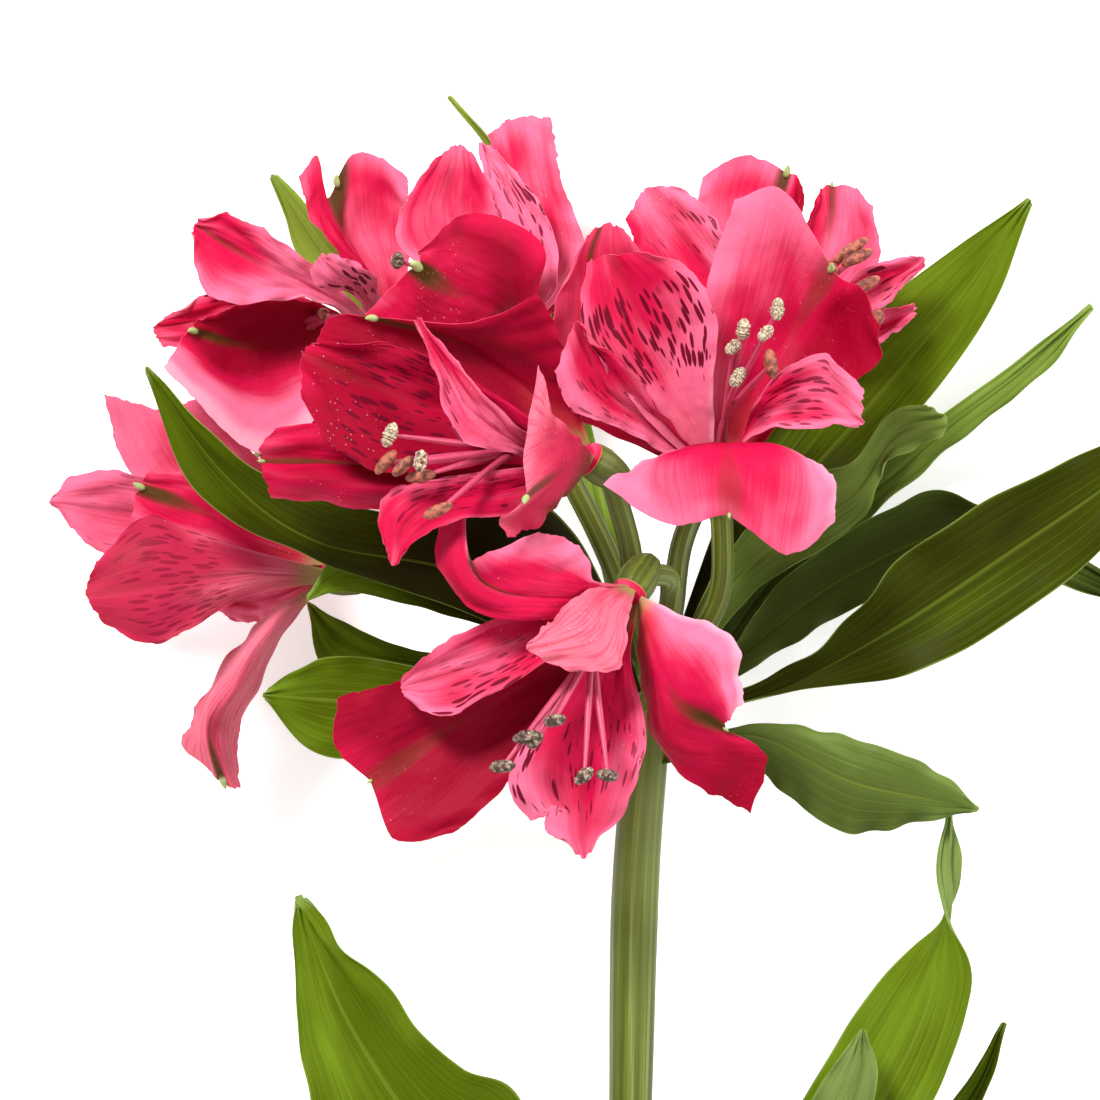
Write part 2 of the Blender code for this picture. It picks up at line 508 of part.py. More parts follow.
def bloom_object(letter, bloom):
    """The six tepals of one bloom, joined at their receptacle."""
    base, axis = bloom_frame(bloom)
    name = "bloom_" + letter
    body = disc_object(name + "_petals", base, axis, RECEPTACLE_HEIGHT, RECEPTACLE_RADIUS, 10)
    tepals = []
    for number, (kind, *lines) in enumerate(bloom["tepals"]):
        rows, columns = (OUTER_ROWS, OUTER_COLUMNS) if kind == OUTER else (INNER_ROWS, INNER_COLUMNS)
        grid = blade_points(tepal_edges(bloom, lines), rows, columns, 0)
        tepals.append(sheet_object(f"{name}_tepal_{number}", grid, TEPAL_THICKNESS))
    return fused(body, tepals)


def stamens_object(letter, bloom):
    """The stamens and the style of one bloom, joined at their foot just above the receptacle."""
    base, axis = bloom_frame(bloom)
    foot = base + axis * (RECEPTACLE_HEIGHT + SEAT_GAP)
    name = "bloom_" + letter + "_stamens"
    body = disc_object(name, foot, axis, 1.0, 1.1, 6)
    parts = []
    for number, tip in enumerate(bloom["anthers"]):
        tip = np.array(tip, float)
        line = smooth_path([foot + axis * 0.5, bloom["throat"], tip], FILAMENT_RINGS)
        parts.append(tube_object(f"{name}_filament_{number}", line, [FILAMENT_RADIUS] * FILAMENT_RINGS, 0))
        along = unit(np.cross(axis, [math.sin(number), math.cos(number), 0.3]))
        parts.append(ball_object(f"{name}_anther_{number}", tip, along, ANTHER_LENGTH, ANTHER_RADIUS, 5, 3))
    return fused(body, parts)


def stem_object():
    """The stem with the flower stalks and the ovaries that end them."""
    line = smooth_path(STEM_PATH, 14)
    swell = np.interp(np.linspace(0, 1, 14), np.linspace(0, 1, len(STEM_SWELL)), STEM_SWELL)
    body = tube_object("stem", line, STEM_RADIUS * swell, 2)
    for corner in body.data.vertices:
        if corner.co.y < CUT_AT[1] + STEM_RADIUS:
            corner.co.y += (corner.co.x - CUT_AT[0]) * math.tan(math.radians(CUT_SLANT_DEG))
    parts = []
    for letter, bloom in BLOOMS.items():
        base, axis = bloom_frame(bloom)
        top = base - axis * SEAT_GAP
        middle = top - axis * (OVARY_LENGTH / 2)
        line = smooth_path([(0, 0, 1)] + bloom["stalk"] + [middle], STALK_RINGS)
        parts.append(tube_object("stalk_" + letter, line, [STALK_RADIUS] * STALK_RINGS, 1))
        ovary = smooth_path([top - axis * OVARY_LENGTH, middle, top], 4)
        shape = [0.6, 0.95, 1.0, 0.85]
        parts.append(tube_object("ovary_" + letter, ovary, [OVARY_RADIUS * share for share in shape], 1))
    return fused(body, parts)


def leaf_object(name, leaf, skin):
    """A leaf, with its root moved to stand just clear of the stem's skin."""
    root, left, middle, right = leaf
    touch, outward, index, distance = skin.find_nearest(root)
    touch, outward = np.array(touch), np.array(outward)
    rise = unit(np.array(middle[0], float) - touch)
    lean = math.sqrt(max(0.0, 1 - (rise @ outward) ** 2))
    root = touch + outward * (SEAT_GAP + LEAF_THICKNESS / 2 * lean)
    side = np.array(left[0], float) - np.array(right[0], float)
    side = unit(side - (side @ outward) * outward) * LEAF_ROOT_HALF_WIDTH
    edges = [[root + side] + left, [root] + middle, [root - side] + right]
    grid = blade_points(edges, LEAF_ROWS, LEAF_COLUMNS, LEAF_WAVE)
    return sheet_object("leaf_" + name, grid, LEAF_THICKNESS)


def corners_of(pieces):
    """All the corners of the pieces' finished meshes, in the plant's frame."""
    view = bpy.context.evaluated_depsgraph_get()
    corners = []
    for piece in pieces:
        made = piece.evaluated_get(view)
        mesh = made.to_mesh()
        corners.append(np.array([corner.co[:] for corner in mesh.vertices]))
        made.to_mesh_clear()
    return np.vstack(corners)


def ground_normal(corners):
    """The upward normal, in the plant's frame, of the ground that the three low points touch."""
    head = corners[corners[:, 1] > HEAD_ABOVE]
    on_left = head[:, 0] < SIDES_SPLIT_AT
    groups = [corners[corners[:, 1] < TAIL_BELOW], head[on_left], head[~on_left]]
    normal = np.array([0.0, 0.0, 1.0])
    for _ in range(20):
        tail, left, right = (group[np.argmin(group @ normal)] for group in groups)
        normal = unit(np.cross(tail - left, right - left))
    return normal


def lay_down(plant, pieces):
    """Turns the plant so that its low points touch the ground, with the object centred on the origin."""
    corners = corners_of(pieces)
    normal = Vector(ground_normal(corners))
    turn = normal.rotation_difference(Vector((0, 0, 1)))
    turned = corners @ np.array(turn.to_matrix()).T * MM
    low, high = turned.min(axis=0), turned.max(axis=0)
    plant.scale = (MM, MM, MM)
    plant.rotation_euler = turn.to_euler()
    plant.location = (-(low[0] + high[0]) / 2, -(low[1] + high[1]) / 2, -low[2])


def material(name, colour, roughness):
    made = bpy.data.materials.new(name)
    made.use_nodes = True
    shader = made.node_tree.nodes["Principled BSDF"]
    shader.inputs["Base Color"].default_value = (*colour, 1)
    shader.inputs["Roughness"].default_value = roughness
    return made


def main():
    for old in list(bpy.data.objects):
        bpy.data.objects.remove(old)
    flower = bpy.data.collections.new("alstroemeria_stem")
    bpy.context.scene.collection.children.link(flower)
    plant = bpy.data.objects.new("plant", None)
    flower.objects.link(plant)
    petal = material("petal", (0.82, 0.06, 0.2), 0.45)
    green = material("leaf", (0.13, 0.27, 0.03), 0.5)
    stalk = material("stem", (0.25, 0.35, 0.09), 0.5)
    pollen = material("stamen", (0.7, 0.15, 0.2), 0.6)
    stem = stem_object()
    made = [(stem, stalk)]
    for letter, bloom in BLOOMS.items():
        made.append((bloom_object(letter, bloom), petal))
        made.append((stamens_object(letter, bloom), pollen))
    mesh = stem.data
    faces = [face.vertices for face in mesh.polygons]
    skin = BVHTree.FromPolygons([corner.co for corner in mesh.vertices], faces)
    for name, leaf in LEAVES.items():
        made.append((leaf_object(name, leaf, skin), green))
    for piece, finish in made:
        flower.objects.link(piece)
        piece.parent = plant
        piece.data.materials.clear()
        piece.data.materials.append(finish)
    bpy.context.view_layer.update()
    lay_down(plant, [piece for piece, finish in made])


main()
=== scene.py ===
"""Looks of the alstroemeria stem: finer petals, leaves, stem and stamens in place of the plain solids.

The points are in the plant's own frame, as in the part's source, and fitted further to the photo than there.
They are in millimetres: X to the right, Y up the stem and Z towards the side that faces up. PLANT_AT and
PLANT_TURN lay that frame down in the row frame.
"""

import math

import bpy
import numpy as np
from mathutils import Euler, Matrix, Vector
from mathutils.bvhtree import BVHTree
from mathutils.kdtree import KDTree


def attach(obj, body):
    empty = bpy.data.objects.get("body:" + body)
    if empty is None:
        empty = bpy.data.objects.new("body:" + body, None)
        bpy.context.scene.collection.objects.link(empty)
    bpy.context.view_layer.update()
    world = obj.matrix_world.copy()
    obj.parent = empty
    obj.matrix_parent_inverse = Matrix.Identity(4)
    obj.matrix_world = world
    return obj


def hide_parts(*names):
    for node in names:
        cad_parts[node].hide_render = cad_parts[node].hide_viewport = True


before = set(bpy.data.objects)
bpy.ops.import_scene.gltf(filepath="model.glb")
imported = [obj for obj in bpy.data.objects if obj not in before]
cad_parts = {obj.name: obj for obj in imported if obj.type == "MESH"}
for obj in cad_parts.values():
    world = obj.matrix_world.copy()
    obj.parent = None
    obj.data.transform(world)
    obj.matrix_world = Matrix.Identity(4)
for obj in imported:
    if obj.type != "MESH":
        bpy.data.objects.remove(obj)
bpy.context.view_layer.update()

MM = 0.001
PLANT_AT = (0.0056756, 0.0710806, 0.0292613)
PLANT_TURN = (0.1044211, 0.0194209, 0.0010149)
TO_ROW = Matrix.Translation(PLANT_AT) @ Euler(PLANT_TURN).to_matrix().to_4x4() @ Matrix.Scale(MM, 4)

# The photo's view: the point at its middle, how wide it is there, and how far off the camera stands.
VIEW_MIDDLE = (-17.85, 26.25)
VIEW_WIDTH = 192.5
VIEW_DISTANCE = 2500.0

TEPAL_ROWS = 56
TEPAL_COLUMNS = 30
TEPAL_THICKNESS = 0.5
TEPAL_WAVES = 5
TEPAL_CREASES = 0.22
TEPAL_TEETH = 0.1
TEPAL_GROOVE = (0.35, 0.09)
LEAF_ROWS = 90
LEAF_COLUMNS = 18
LEAF_THICKNESS = 0.55
LEAF_WAVES = 6
LEAF_GROOVE = (0.3, 0.07)

# The stem, from its cut end up to the whorl.
STEM_RADIUS = 3.5
CUT_SLANT_DEG = 35.0
CUT_AT = (-14.0, -250.0)
STEM_PATH = [(*CUT_AT, 0), (-9, -190, 0), (-6, -130, 0), (-4, -80, 0), (-3, -35, 0), (-1, -8, 0), (0, 4, 2)]
STEM_SWELL = [1.0, 0.98, 0.95, 0.95, 1.05, 1.2, 1.1]
STEM_RINGS = 120
STEM_SIDES = 40
SKIN_VOXEL = 0.42
SKIN_SOFTENING = 6

# A flower: its stalk, the ovary at its end, the receptacle that carries the tepals, the ring of the claws,
# the stamens and the horns at the tips. Where two lists stand together, the first says how far along and the
# second how thick.
STALK_RADIUS = 2.0
STALK_RINGS = 50
OVARY_LENGTH = 8.0
OVARY_RADIUS = 3.4
OVARY_SWELL = ([0, 0.25, 0.6, 0.9, 1], [0.6, 0.85, 1.0, 0.97, 0.9])
OVARY_RINGS = 24
OVARY_RIBS = 6
RIB_HEIGHT = 0.07
RECEPTACLE_RADIUS = 3.0
RECEPTACLE_HEIGHT = 1.6
RECEPTACLE_FOOT = -0.15
RECEPTACLE_SWELL = [1.05, 1.04, 1.0, 0.95, 0.85, 0.65, 0.3]
CLAW_RING_RADIUS = 2.0
CLAW_HALF_WIDTH = 1.2
FILAMENT_RADII = ([0, 0.7, 1], [0.68, 0.6, 0.3])
FILAMENT_RINGS = 28
ANTHER_LENGTH = 5.0
ANTHER_RADIUS = 1.3
ANTHER_RINGS = 21
ANTHER_GROOVE_DEPTH = 0.42
ANTHER_GROOVE_WIDTH = 0.3
HORN_REACH = (-1.2, 1.5)
HORN_RADII = [0.15, 0.4, 0.55, 0.62, 0.6, 0.5, 0.36, 0.1]
ROUND_SIDES = 24
THIN_SIDES = 10

LEAF_WAVE = 0.8
WAVES_PER_EDGE = 2.5
LEAF_ROOT_HALF_WIDTH = 1.6
LEAF_ROOT_DEPTH = 0.2
SHARP_EDGE_DEG = 55.0

OUTER, INNER = "outer", "inner"

# A point is written as its X, Y and Z, and a line of points has commas between them.

# Blooms: the base of each, the way it faces, where its filaments bend, its stalk's way from the whorl, and
# its anthers. A row is an anther's kind and middle, and its reach from end to end where the photo shows it.
BLOOMS = {
    "a": {
        "base": (12, 38.5, 14), "axis": (0, 0.8, 0.6), "throat": (12.5, 49, 23),
        "stalk": "3 5 3, 8 11 5, 12 20 7",
        "anthers": """
    beige 15.5 64.3 36 0.6 3.8 0.5
    beige 13.8 61.3 34 2.5 2.2 0
    beige 19.3 63.6 38 2.3 2.5 0
    beige 21.4 67.8 36 0.4 4 0
    beige 14.5 56 38 2.2 3.3 0
    brown 20.2 58.3 40 -0.8 5.2 0""",
    },
    "b": {
        "base": (-11, 42, 24), "axis": (-0.75, 0.45, 0.45), "throat": (-23, 43.5, 36),
        "stalk": "-1 7 4, -3 17 8, -4 27 13",
        "anthers": """
    beige -45.3 46 51 1.8 4.2 0
    brown -46 41.3 52 3.5 4 0
    brown -43 40.6 54 3.5 3.2 0
    mixed -40 41.5 56 0.5 3.8 0
    brown -37 33 60 5 2.2 0
    brown -40 38.9 52 5.3 0.8 0""",
    },
    "c": {
        "base": (-4, 19, 28), "axis": (-0.45, -0.7, 0.55), "throat": (-10, 10, 39),
        "stalk": "1 5 6, 2.5 13 11, 3 21 16",
        "anthers": """
    dark -17 -3 47 3.8 0.8 0
    dark -22 -5.8 47 4.5 1 0
    dark -26 -10.9 46 4.5 0.4 0
    dark -12 -12.5 49 3 2.5 0
    dark -8 -12.4 48 3.8 -0.5 0
    dark -20.5 -6.4 46 2.5 2.5 0""",
    },
    "d": {
        "base": (-57, 22, -2), "axis": (-1, 0.1, 0.15), "throat": (-68, 22.5, -1),
        "stalk": "-4 5 1, -20 15 -4, -38 21 -6",
        "anthers": """
    brown -78 20 -4
    brown -82 22 -5
    brown -80 17 -6
    brown -83 19 -8
    brown -77 18 -2
    brown -81 16 -3""",
    },
    "e": {
        "base": (-48, 63, -12), "axis": (-0.65, 0.5, 0.55), "throat": (-56, 67, -4),
        "stalk": "-4 6 -3, -18 26 -12, -34 46 -18",
        "anthers": """
    brown -62 66.5 -10
    brown -64 66 -11
    brown -61 64.5 -10
    brown -63 64 -12
    brown -60.5 66 -9.5
    brown -57.6 67.6 -4.5 2.2 0.8 0""",
    },
    "f": {
        "base": (-25, 62, -6), "axis": (-0.25, 0.9, 0.2), "throat": (-28, 71, -2),
        "stalk": "-1 7 -4, -8 26 -12, -17 44 -13",
        "anthers": """
    dark -44.5 76.8 5 0.4 3 0
    brown -33 78 1
    brown -28 79 -1
    brown -36 78 2
    brown -31 76 1
    brown -26 77 -1""",
    },
    "g": {
        "base": (21, 60, -16), "axis": (0.3, 0.85, 0.2), "throat": (25.5, 69, -12.5),
        "stalk": "1 6 -2, 3.5 15 -4, 5.5 28 -9, 12 42 -15",
        "anthers": """
    brown 34.8 78.8 -5 6 4.2 0
    brown 37.5 72.8 -3 5 2.4 0
    brown 36 77.5 -4 5.5 2.6 0
    brown 28 78 -5 2.4 1.4 0
    brown 31 76 -5
    brown 39.5 67 -3 1 3 0""",
    },
}

# Tepals, by bloom and number: the kind, what sets it apart from TEPAL_LOOKS, and three to six lines of points
# from its claw out. They are its left edge, its midrib, with others beside it where it has lobes, and its
# right edge, as seen on its inner face with its tip up.
TEPALS = {
    "a0": (INNER, {"tone": (-1.1, 0.4, 0, -0.4), "dashes": 1.6}, """
    -3 51 24, -12 64 31, -11.5 76 28
    4 54 20, -2 66 24, -7.5 77.3 27.5
    10.5 55 24, 11 66 29, 6.5 74.5 29.5, -1 77.8 29"""),
    "a1": (OUTER, {"tone": (0.2, 0, -0.5, 2.2), "dark": 0.5, "notch": 0.3}, """
    7 55 19, 9.5 73 22, 14.2 87 24
    13 54 17, 18 70 19, 22.5 88.6 25
    18 54 17, 25 65 17, 31.3 75.3 24
    22 53 19, 32 62 22, 36 71 30
    26 52 26, 38 57.5 34, 39 65 36"""),
    "a2": (INNER, {"tone": (0.7, -0.3, -0.2, -0.4), "dashes": 0.8}, """
    19 54 29, 29 60 35, 36 54 38
    18 49.5 27, 28 53 32, 36 49 38
    17 46 30, 27 47.3 36, 35 47.5 38"""),
    "a3": (OUTER, {"tone": (0.1, -0.1, 0.2, 0), "horn": 0}, """
    -4 45 16, -18 53 20, -17 68 21, -12.5 79 18
    2 47 12, -7 59 12, -11 75 16, -9 83 17.5
    3 58 11, 0 71 13, -2.2 78 16, -5 82 17"""),
    "a4": (INNER, {"tone": (-0.1, 0, -0.3, 0.2), "dashes": 0.6}, """
    -5 47 23, -14 50.5 28, -17 57 30
    0 48 20, -8 54 26, -13.3 65.5 31.5
    1 51 24, -4 57.5 29, -10 61.5 32"""),
    "a5": (OUTER, {"tone": (0.5, 0.1, -1.4, -1.2), "dark": 0.35, "horn": 0.5}, """
    20 43.5 30, 30.5 39.5 36, 31.3 31 36
    16 44 28, 25 41.5 38.5, 23.5 25.5 38
    12 44 27, 13 43 38, 13 31.6 42
    8 44 28, 2 41.3 38, 3 30.5 41
    4 43 29, -5 40 36, -8.5 37.5 39"""),
    "b0": (INNER, {"tone": (0.5, 0.65, 0, 0)}, """
    -28 41 34, -45 39.5 42, -55 44 45, -60.5 52.5 46
    -25 46.5 30, -42 52 35, -60.5 60 41
    -24 51 32, -42 61 38, -57 62 41"""),
    "b1": (OUTER, {"tone": (0.4, 0.35, 0, 0)}, """
    -26 50 24, -44 57 28, -59 60 33
    -24 52 23, -40 60 25, -56 66 32.5
    -22 54 23, -34 62 25, -49 67 31
    -18 55 25, -26 63 29, -32 65.3 33
    -14 54 27, -16.5 64 31, -20 70.5 33"""),
    "b2": (INNER, {"tone": (-0.7, 0.2, 0, 0), "dashes": (0.9, 0.2)}, """
    -25 43 40, -33.5 45.5 44, -37.5 56 45, -40.7 65.5 44.5
    -23 44.5 38, -31 50 42, -36 58 43.5, -40.6 66 44.3
    -21 46 39, -27 51 44, -33.5 58 44.5, -40.2 66 44.5"""),
    "b3": (OUTER, {"tone": (0.2, 0.1, 0, 0.1), "horn": 0.6}, """
    -26 35 34, -45 33.3 36, -58 34.3 36, -66 35.5 36
    -27 37 33, -45 37 39, -58 38.3 40, -67 38.3 38
    -28 39 30, -46 40.5 34.5, -59 41.5 35, -68 41.5 36
    -28 41 31, -46 43.5 36, -58 45 37, -67.5 44.8 37
    -28 43 33, -46 46 36, -57 48 36.5, -65 47 36.5"""),
    "b4": (INNER, {"tone": (-0.1, 0.2, 0, 0), "dashes": 0.7}, """
    -23 33 43, -33 31.5 48, -38.5 29.5 50, -43 25.8 50
    -24 37 41, -37 34.5 48, -43 30 49, -44.7 23.5 50
    -27 40 43, -44 37 48, -47.3 32.5 50, -46.3 27.5 50"""),
    "b5": (OUTER, {"tone": (1.6, -0.1, 0.5, -0.5), "sides": (0, 1)}, """
    -15 36 36, -20 30.5 44, -25 28.5 49
    -13.5 38 36, -19 34.5 46, -26.5 31.5 51
    -12 40 36, -17 39 47, -22.3 34.8 54
    -12 43 36, -17.5 45 45, -22.2 42.5 50
    -12.5 45 36, -17.3 50 43, -19.7 58 45"""),
    "c0": (OUTER, {"tone": (0.3, -0.1, 0.3, -0.6), "horn": 0}, """
    -13 15 40, -28 14.7 45, -36 21 44, -37.3 28.5 42, -35.5 33.5 41
    -12.5 16.5 39.5, -26 16.8 45, -33 21.5 46, -34 28 45, -32.5 34 43
    -12 18 39, -24 18.5 44.5, -30 21 45.5, -32 25.2 46
    -11 20.5 39, -18 22.5 43.5, -24 24.5 45.5, -27.8 26 46
    -10 20.5 38.5, -11.2 24.5 40.5, -14.5 28 42.5, -20 29.3 44"""),
    "c1": (INNER, {"tone": (0.2, -0.3, 0.1, 0.2), "dashes": (1.2, 0.05)}, """
    -14 10 37, -27 2 41, -37 -2.5 39, -43 1 36
    -15 14 35, -28 7 37, -43.5 2.5 35
    -16 17 36, -30 13.5 39, -40 7.5 37, -43.3 3.6 36"""),
    "c2": (OUTER, {"tone": (0.6, 0.55, 0.2, 0.3), "dark": 0.4, "horn": 0.5}, """
    -14 2 32, -23 -11 32, -28 -17 32, -34.5 -22.8 32
    -15 4 31, -28 -9 30, -36 -17 31, -44.5 -23.7 31.5
    -17 6 29, -34 -4 29, -49.5 -14 30
    -18.5 9 30, -37 0 30.5, -55 -7.5 32
    -20 12 31, -38 5.5 32, -54.5 0.8 33"""),
    "c3": (INNER, {"tone": (0.4, -0.1, 0, -0.5), "dashes": (0.7, 1.1)}, """
    -4 7 36, -1.3 -5 39, -4.5 -18 38, -10.5 -24.5 36
    -8 6 35, -12 -10 36, -12 -27 35
    -13 5 37, -24.8 -11.5 39, -21.3 -20.3 37.5, -18 -17.5 37, -18.8 -22 36.5, -14 -24.6 35.5"""),
    "c4": (OUTER, {"tone": (0, 0.25, -1.7, 0.5), "dark": 1.3, "horn": 0.5}, """
    5 15 32, 13.8 11 36, 15.3 0 34.5
    3 12.5 34, 9 7 38.5, 13.5 -2.5 36.5
    0 9 35, 4 0 37, 13 -4.8 34.5
    -1 6 34, 3 -7 34, 19.5 -9.5 31
    -2 3 31, 3 -11 31, 16.8 -19.3 28"""),
    "c5": (INNER, {"tone": (0.1, -0.35, 0, 0), "dashes": 0.3, "sides": (0, 1)}, """
    -4.5 14 42, -6 6 47, -15 5.5 50
    -8 17 41, -12 12 48, -21.5 9 51
    -12 19 41, -18 14 47, -21 10.5 51"""),
    "d0": (OUTER, {"tone": (0, -0.5, -0.3, -0.1), "dark": 0, "horn": 0}, """
    -70 28 -8, -84 35 -9, -92.5 41.5 -9, -96.2 53.5 -8
    -68 31 -11, -78 40 -13, -86.5 51.3 -11
    -62 33 -8, -66.5 38.5 -9, -71.5 45.5 -8.5, -79.5 53 -8"""),
    "d1": (INNER, {"tone": (0, -0.4, 0, -0.3), "dashes": 0.4}, """
    -70 25.5 -5, -90 25.5 -6, -98 26.5 -5, -104.8 33.8 -4
    -70 28 -6, -88 32 -8, -105.5 34.7 -4
    -70 30 -4, -90 39.5 -5, -101 39.2 -4, -105 35.8 -4"""),
    "d2": (INNER, {"tone": (-0.3, 0.95, 0, 0), "dashes": 1.2, "sides": (0, 1)}, """
    -70 18.3 7, -80 13 10, -87.5 9.8 11.5, -95.5 13.5 12.5
    -70 22 8, -84 20.5 13, -98.7 18.5 13
    -69 26 8, -80 29.5 10, -88.5 32 11.5, -97 24 12.5"""),
    "d3": (OUTER, {"tone": (0, 0.1, -0.3, 0), "dark": 1.8}, """
    -70 24 4, -82 27 5, -91 32 3
    -68 27 1, -79 33 1, -90 37.2 1
    -67 30 0, -78 39 0, -88 40 1"""),
    "d4": (OUTER, {"tone": (-0.5, 0.1, -0.5, -0.5), "dark": 1.2, "sides": (0, 1)}, """
    -64 12.5 -3, -67.8 5 -4, -72.5 -6 -5, -72.2 -15.5 -8
    -66 13.5 3, -73 3 4, -77.5 -5 1, -75 -14.8 -4
    -68 14.5 -2, -76.5 4 -3, -80.7 -3.5 -4, -82.8 -7.8 -7"""),
    "d5": (INNER, {"tone": (-0.3, -0.3, 0, 0), "dashes": 0}, """
    -66 15 -7, -70 13.5 -11, -74 14 -14
    -66 18 -9, -72 17 -14, -78 17 -17
    -67 22 -9, -75 21 -15, -80 20 -18"""),
    "e0": (INNER, {"tone": (-1.6, 0.2, 0, 0), "dashes": 0.3, "dark": 0.5}, """
    -59 70 0, -72 69.2 5, -78.5 72 7, -80.5 81 6
    -58 71.5 -2, -68 76 3, -80 83 5
    -57 74 0, -66 81 5, -74 84.8 6, -79 84 6"""),
    "e1": (OUTER, {"tone": (0.6, 0.65, -2.7, 0), "dark": 0.9}, """
    -55 54 -6, -68 43 0, -85.5 58 2
    -60 62 -9, -71 62 -6, -81 65 0
    -56 68.5 -7, -67 70.5 -2, -78 67 0"""),
    "e2": (INNER, {}, """
    -62 65 -13, -75 62 -13, -86 62 -11
    -62 68 -13, -75 67 -14, -87.5 65.3 -11
    -62 71 -12, -74 72.5 -12, -84 68 -11"""),
    "e3": (OUTER, {"tone": (0, -0.2, 0.4, -0.1), "dark": 1.6}, """
    -52 74.5 -8, -59.5 84 -7.5, -61.8 91.5 -7
    -51 74 -9, -57.8 84 -9, -58.8 95.2 -8
    -49.5 74 -10, -54.5 81 -11.5, -57 88.2 -10
    -48 73.5 -11, -52.5 83 -13, -53.5 95.2 -11
    -45.5 73 -11, -47 84 -12.5, -48 95.5 -12
    -43.5 73 -10, -42.2 82 -11, -43 91.5 -11"""),
    "e4": (INNER, {"tone": (-0.6, -0.6, 0, 0)}, """
    -52.5 71 -1, -58 72 4, -60 75 6
    -51 72 -2, -55 74.5 4, -58 77.5 6
    -48 73 -1, -51 76 4, -56 78 6"""),
    "e5": (OUTER, {}, """
    -51 52 -17, -57 41 -26, -64 37 -33
    -54 57 -20, -62 50 -29, -70 43 -35
    -58 62 -18, -70 58 -26, -74 49 -33"""),
    "f0": (INNER, {"tone": (-0.4, 0.1, -0.1, 0), "dashes": 0.2}, """
    -34 71 -4, -43.8 79 -5, -44.5 84.5 -6, -41 91 -7, -38 95 -7.5
    -30 74 -6, -36 85 -8, -34 97.4 -8
    -27 76 -5, -27.5 87 -7, -31 95.5 -8"""),
    "f1": (OUTER, {"tone": (-0.3, -0.2, 0.2, -0.2), "dark": 0, "horn": 0}, """
    -24 76 -13, -27 88 -16, -28.7 99.5 -18
    -20 76 -14, -21.5 90 -18, -24 102.8 -19
    -13.5 74 -12, -12 81 -13.5, -15.7 91 -16, -17.5 102.3 -18"""),
    "f2": (OUTER, {"tone": (0.35, 0.2, 0, 0.1), "dark": 1.5, "horn": 1.5}, """
    -27 62 9, -40 61 13, -51 66 16
    -27 68 5, -36 72 11, -41.5 76 16
    -20 71 2, -19 79 3, -24 83.3 5, -32 85 9, -37.5 81.5 14, -40.3 78.3 15.5"""),
    "f3": (INNER, {"tone": (-0.5, -0.4, 0, 0), "dashes": (0.6, 1)}, """
    -23 74 -4, -27.5 84 -7, -29.5 91 -9, -30 97 -11
    -20 74 -6, -23 85 -10, -29.8 98 -12
    -16.5 74 -4, -19 86 -8, -27 96 -11"""),
    "f4": (INNER, {}, """
    -21 71 -14, -21 78 -20, -18 86 -23
    -19 70 -14, -17 78 -21, -15 86 -24
    -16 70 -12, -13.5 78 -18, -14 85 -22"""),
    "f5": (OUTER, {}, """
    -31 68 -13, -40 77 -18, -38 86 -21
    -27 69 -14, -31 78 -21, -33 87 -23
    -24 70 -14, -24 80 -20, -27 88 -23"""),
    "g0": (OUTER, {"tone": (-0.55, -0.25, 0, 2.4), "dark": 0.9}, """
    15 73 -18, 8 83 -19, 9 92 -20
    18 73 -19, 14 85 -21, 16 95.8 -22
    21 73 -20, 21.5 84 -22, 24.3 93.5 -21
    22.5 73 -19, 24.5 83 -20, 26 91.5 -19.5
    24 73 -18, 26 82 -18, 26.9 87 -18"""),
    "g1": (INNER, {"tone": (0.1, -0.2, 0.3, -0.4), "dashes": (0.3, 0.9)}, """
    11 66 -11, -1 76 -10, -4.5 84.5 -12
    14 70 -13, 7 79 -13, -1 89.8 -13
    17 73 -12, 14 80 -11, 9 87 -11.5, 5 90 -12"""),
    "g2": (OUTER, {"tone": (-0.35, -0.25, 1.1, 0), "dark": 0.6, "horn": 0.5}, """
    25 73 -15, 27 82 -15.5, 29 88 -17
    26.5 72 -15.5, 29 82 -16.5, 30 90 -17.5
    28 71 -16, 31.5 82 -17.5, 31.8 91 -17.5
    30 70 -16, 36 80 -17.5, 36 90 -18
    33 69 -14, 40 77 -15, 38.8 87 -16.5"""),
    "g3": (INNER, {"tone": (-0.2, -0.1, 0, 0)}, """
    30 68 -12, 37 75.5 -9, 46 78 -8
    30 66.5 -13, 39 72 -11, 48 77.3 -8
    30 64 -12, 40 68.5 -10, 47 75 -8"""),
    "g4": (OUTER, {"tone": (0, -0.2, 0, 0), "dark": 0, "horn": 0}, """
    30 65 -15, 38 67.5 -14, 45.3 69.8 -11
    30 62 -16, 39 64.5 -15, 46.7 68.5 -12
    28 58 -15, 38 61.5 -14, 45 66 -12"""),
    "g5": (INNER, {}, """
    21 70 -22, 22 77 -29, 29 82 -36
    24 69 -24, 28 76 -31, 33 81 -37
    27 67 -22, 34 72 -28, 36 79 -35"""),
}

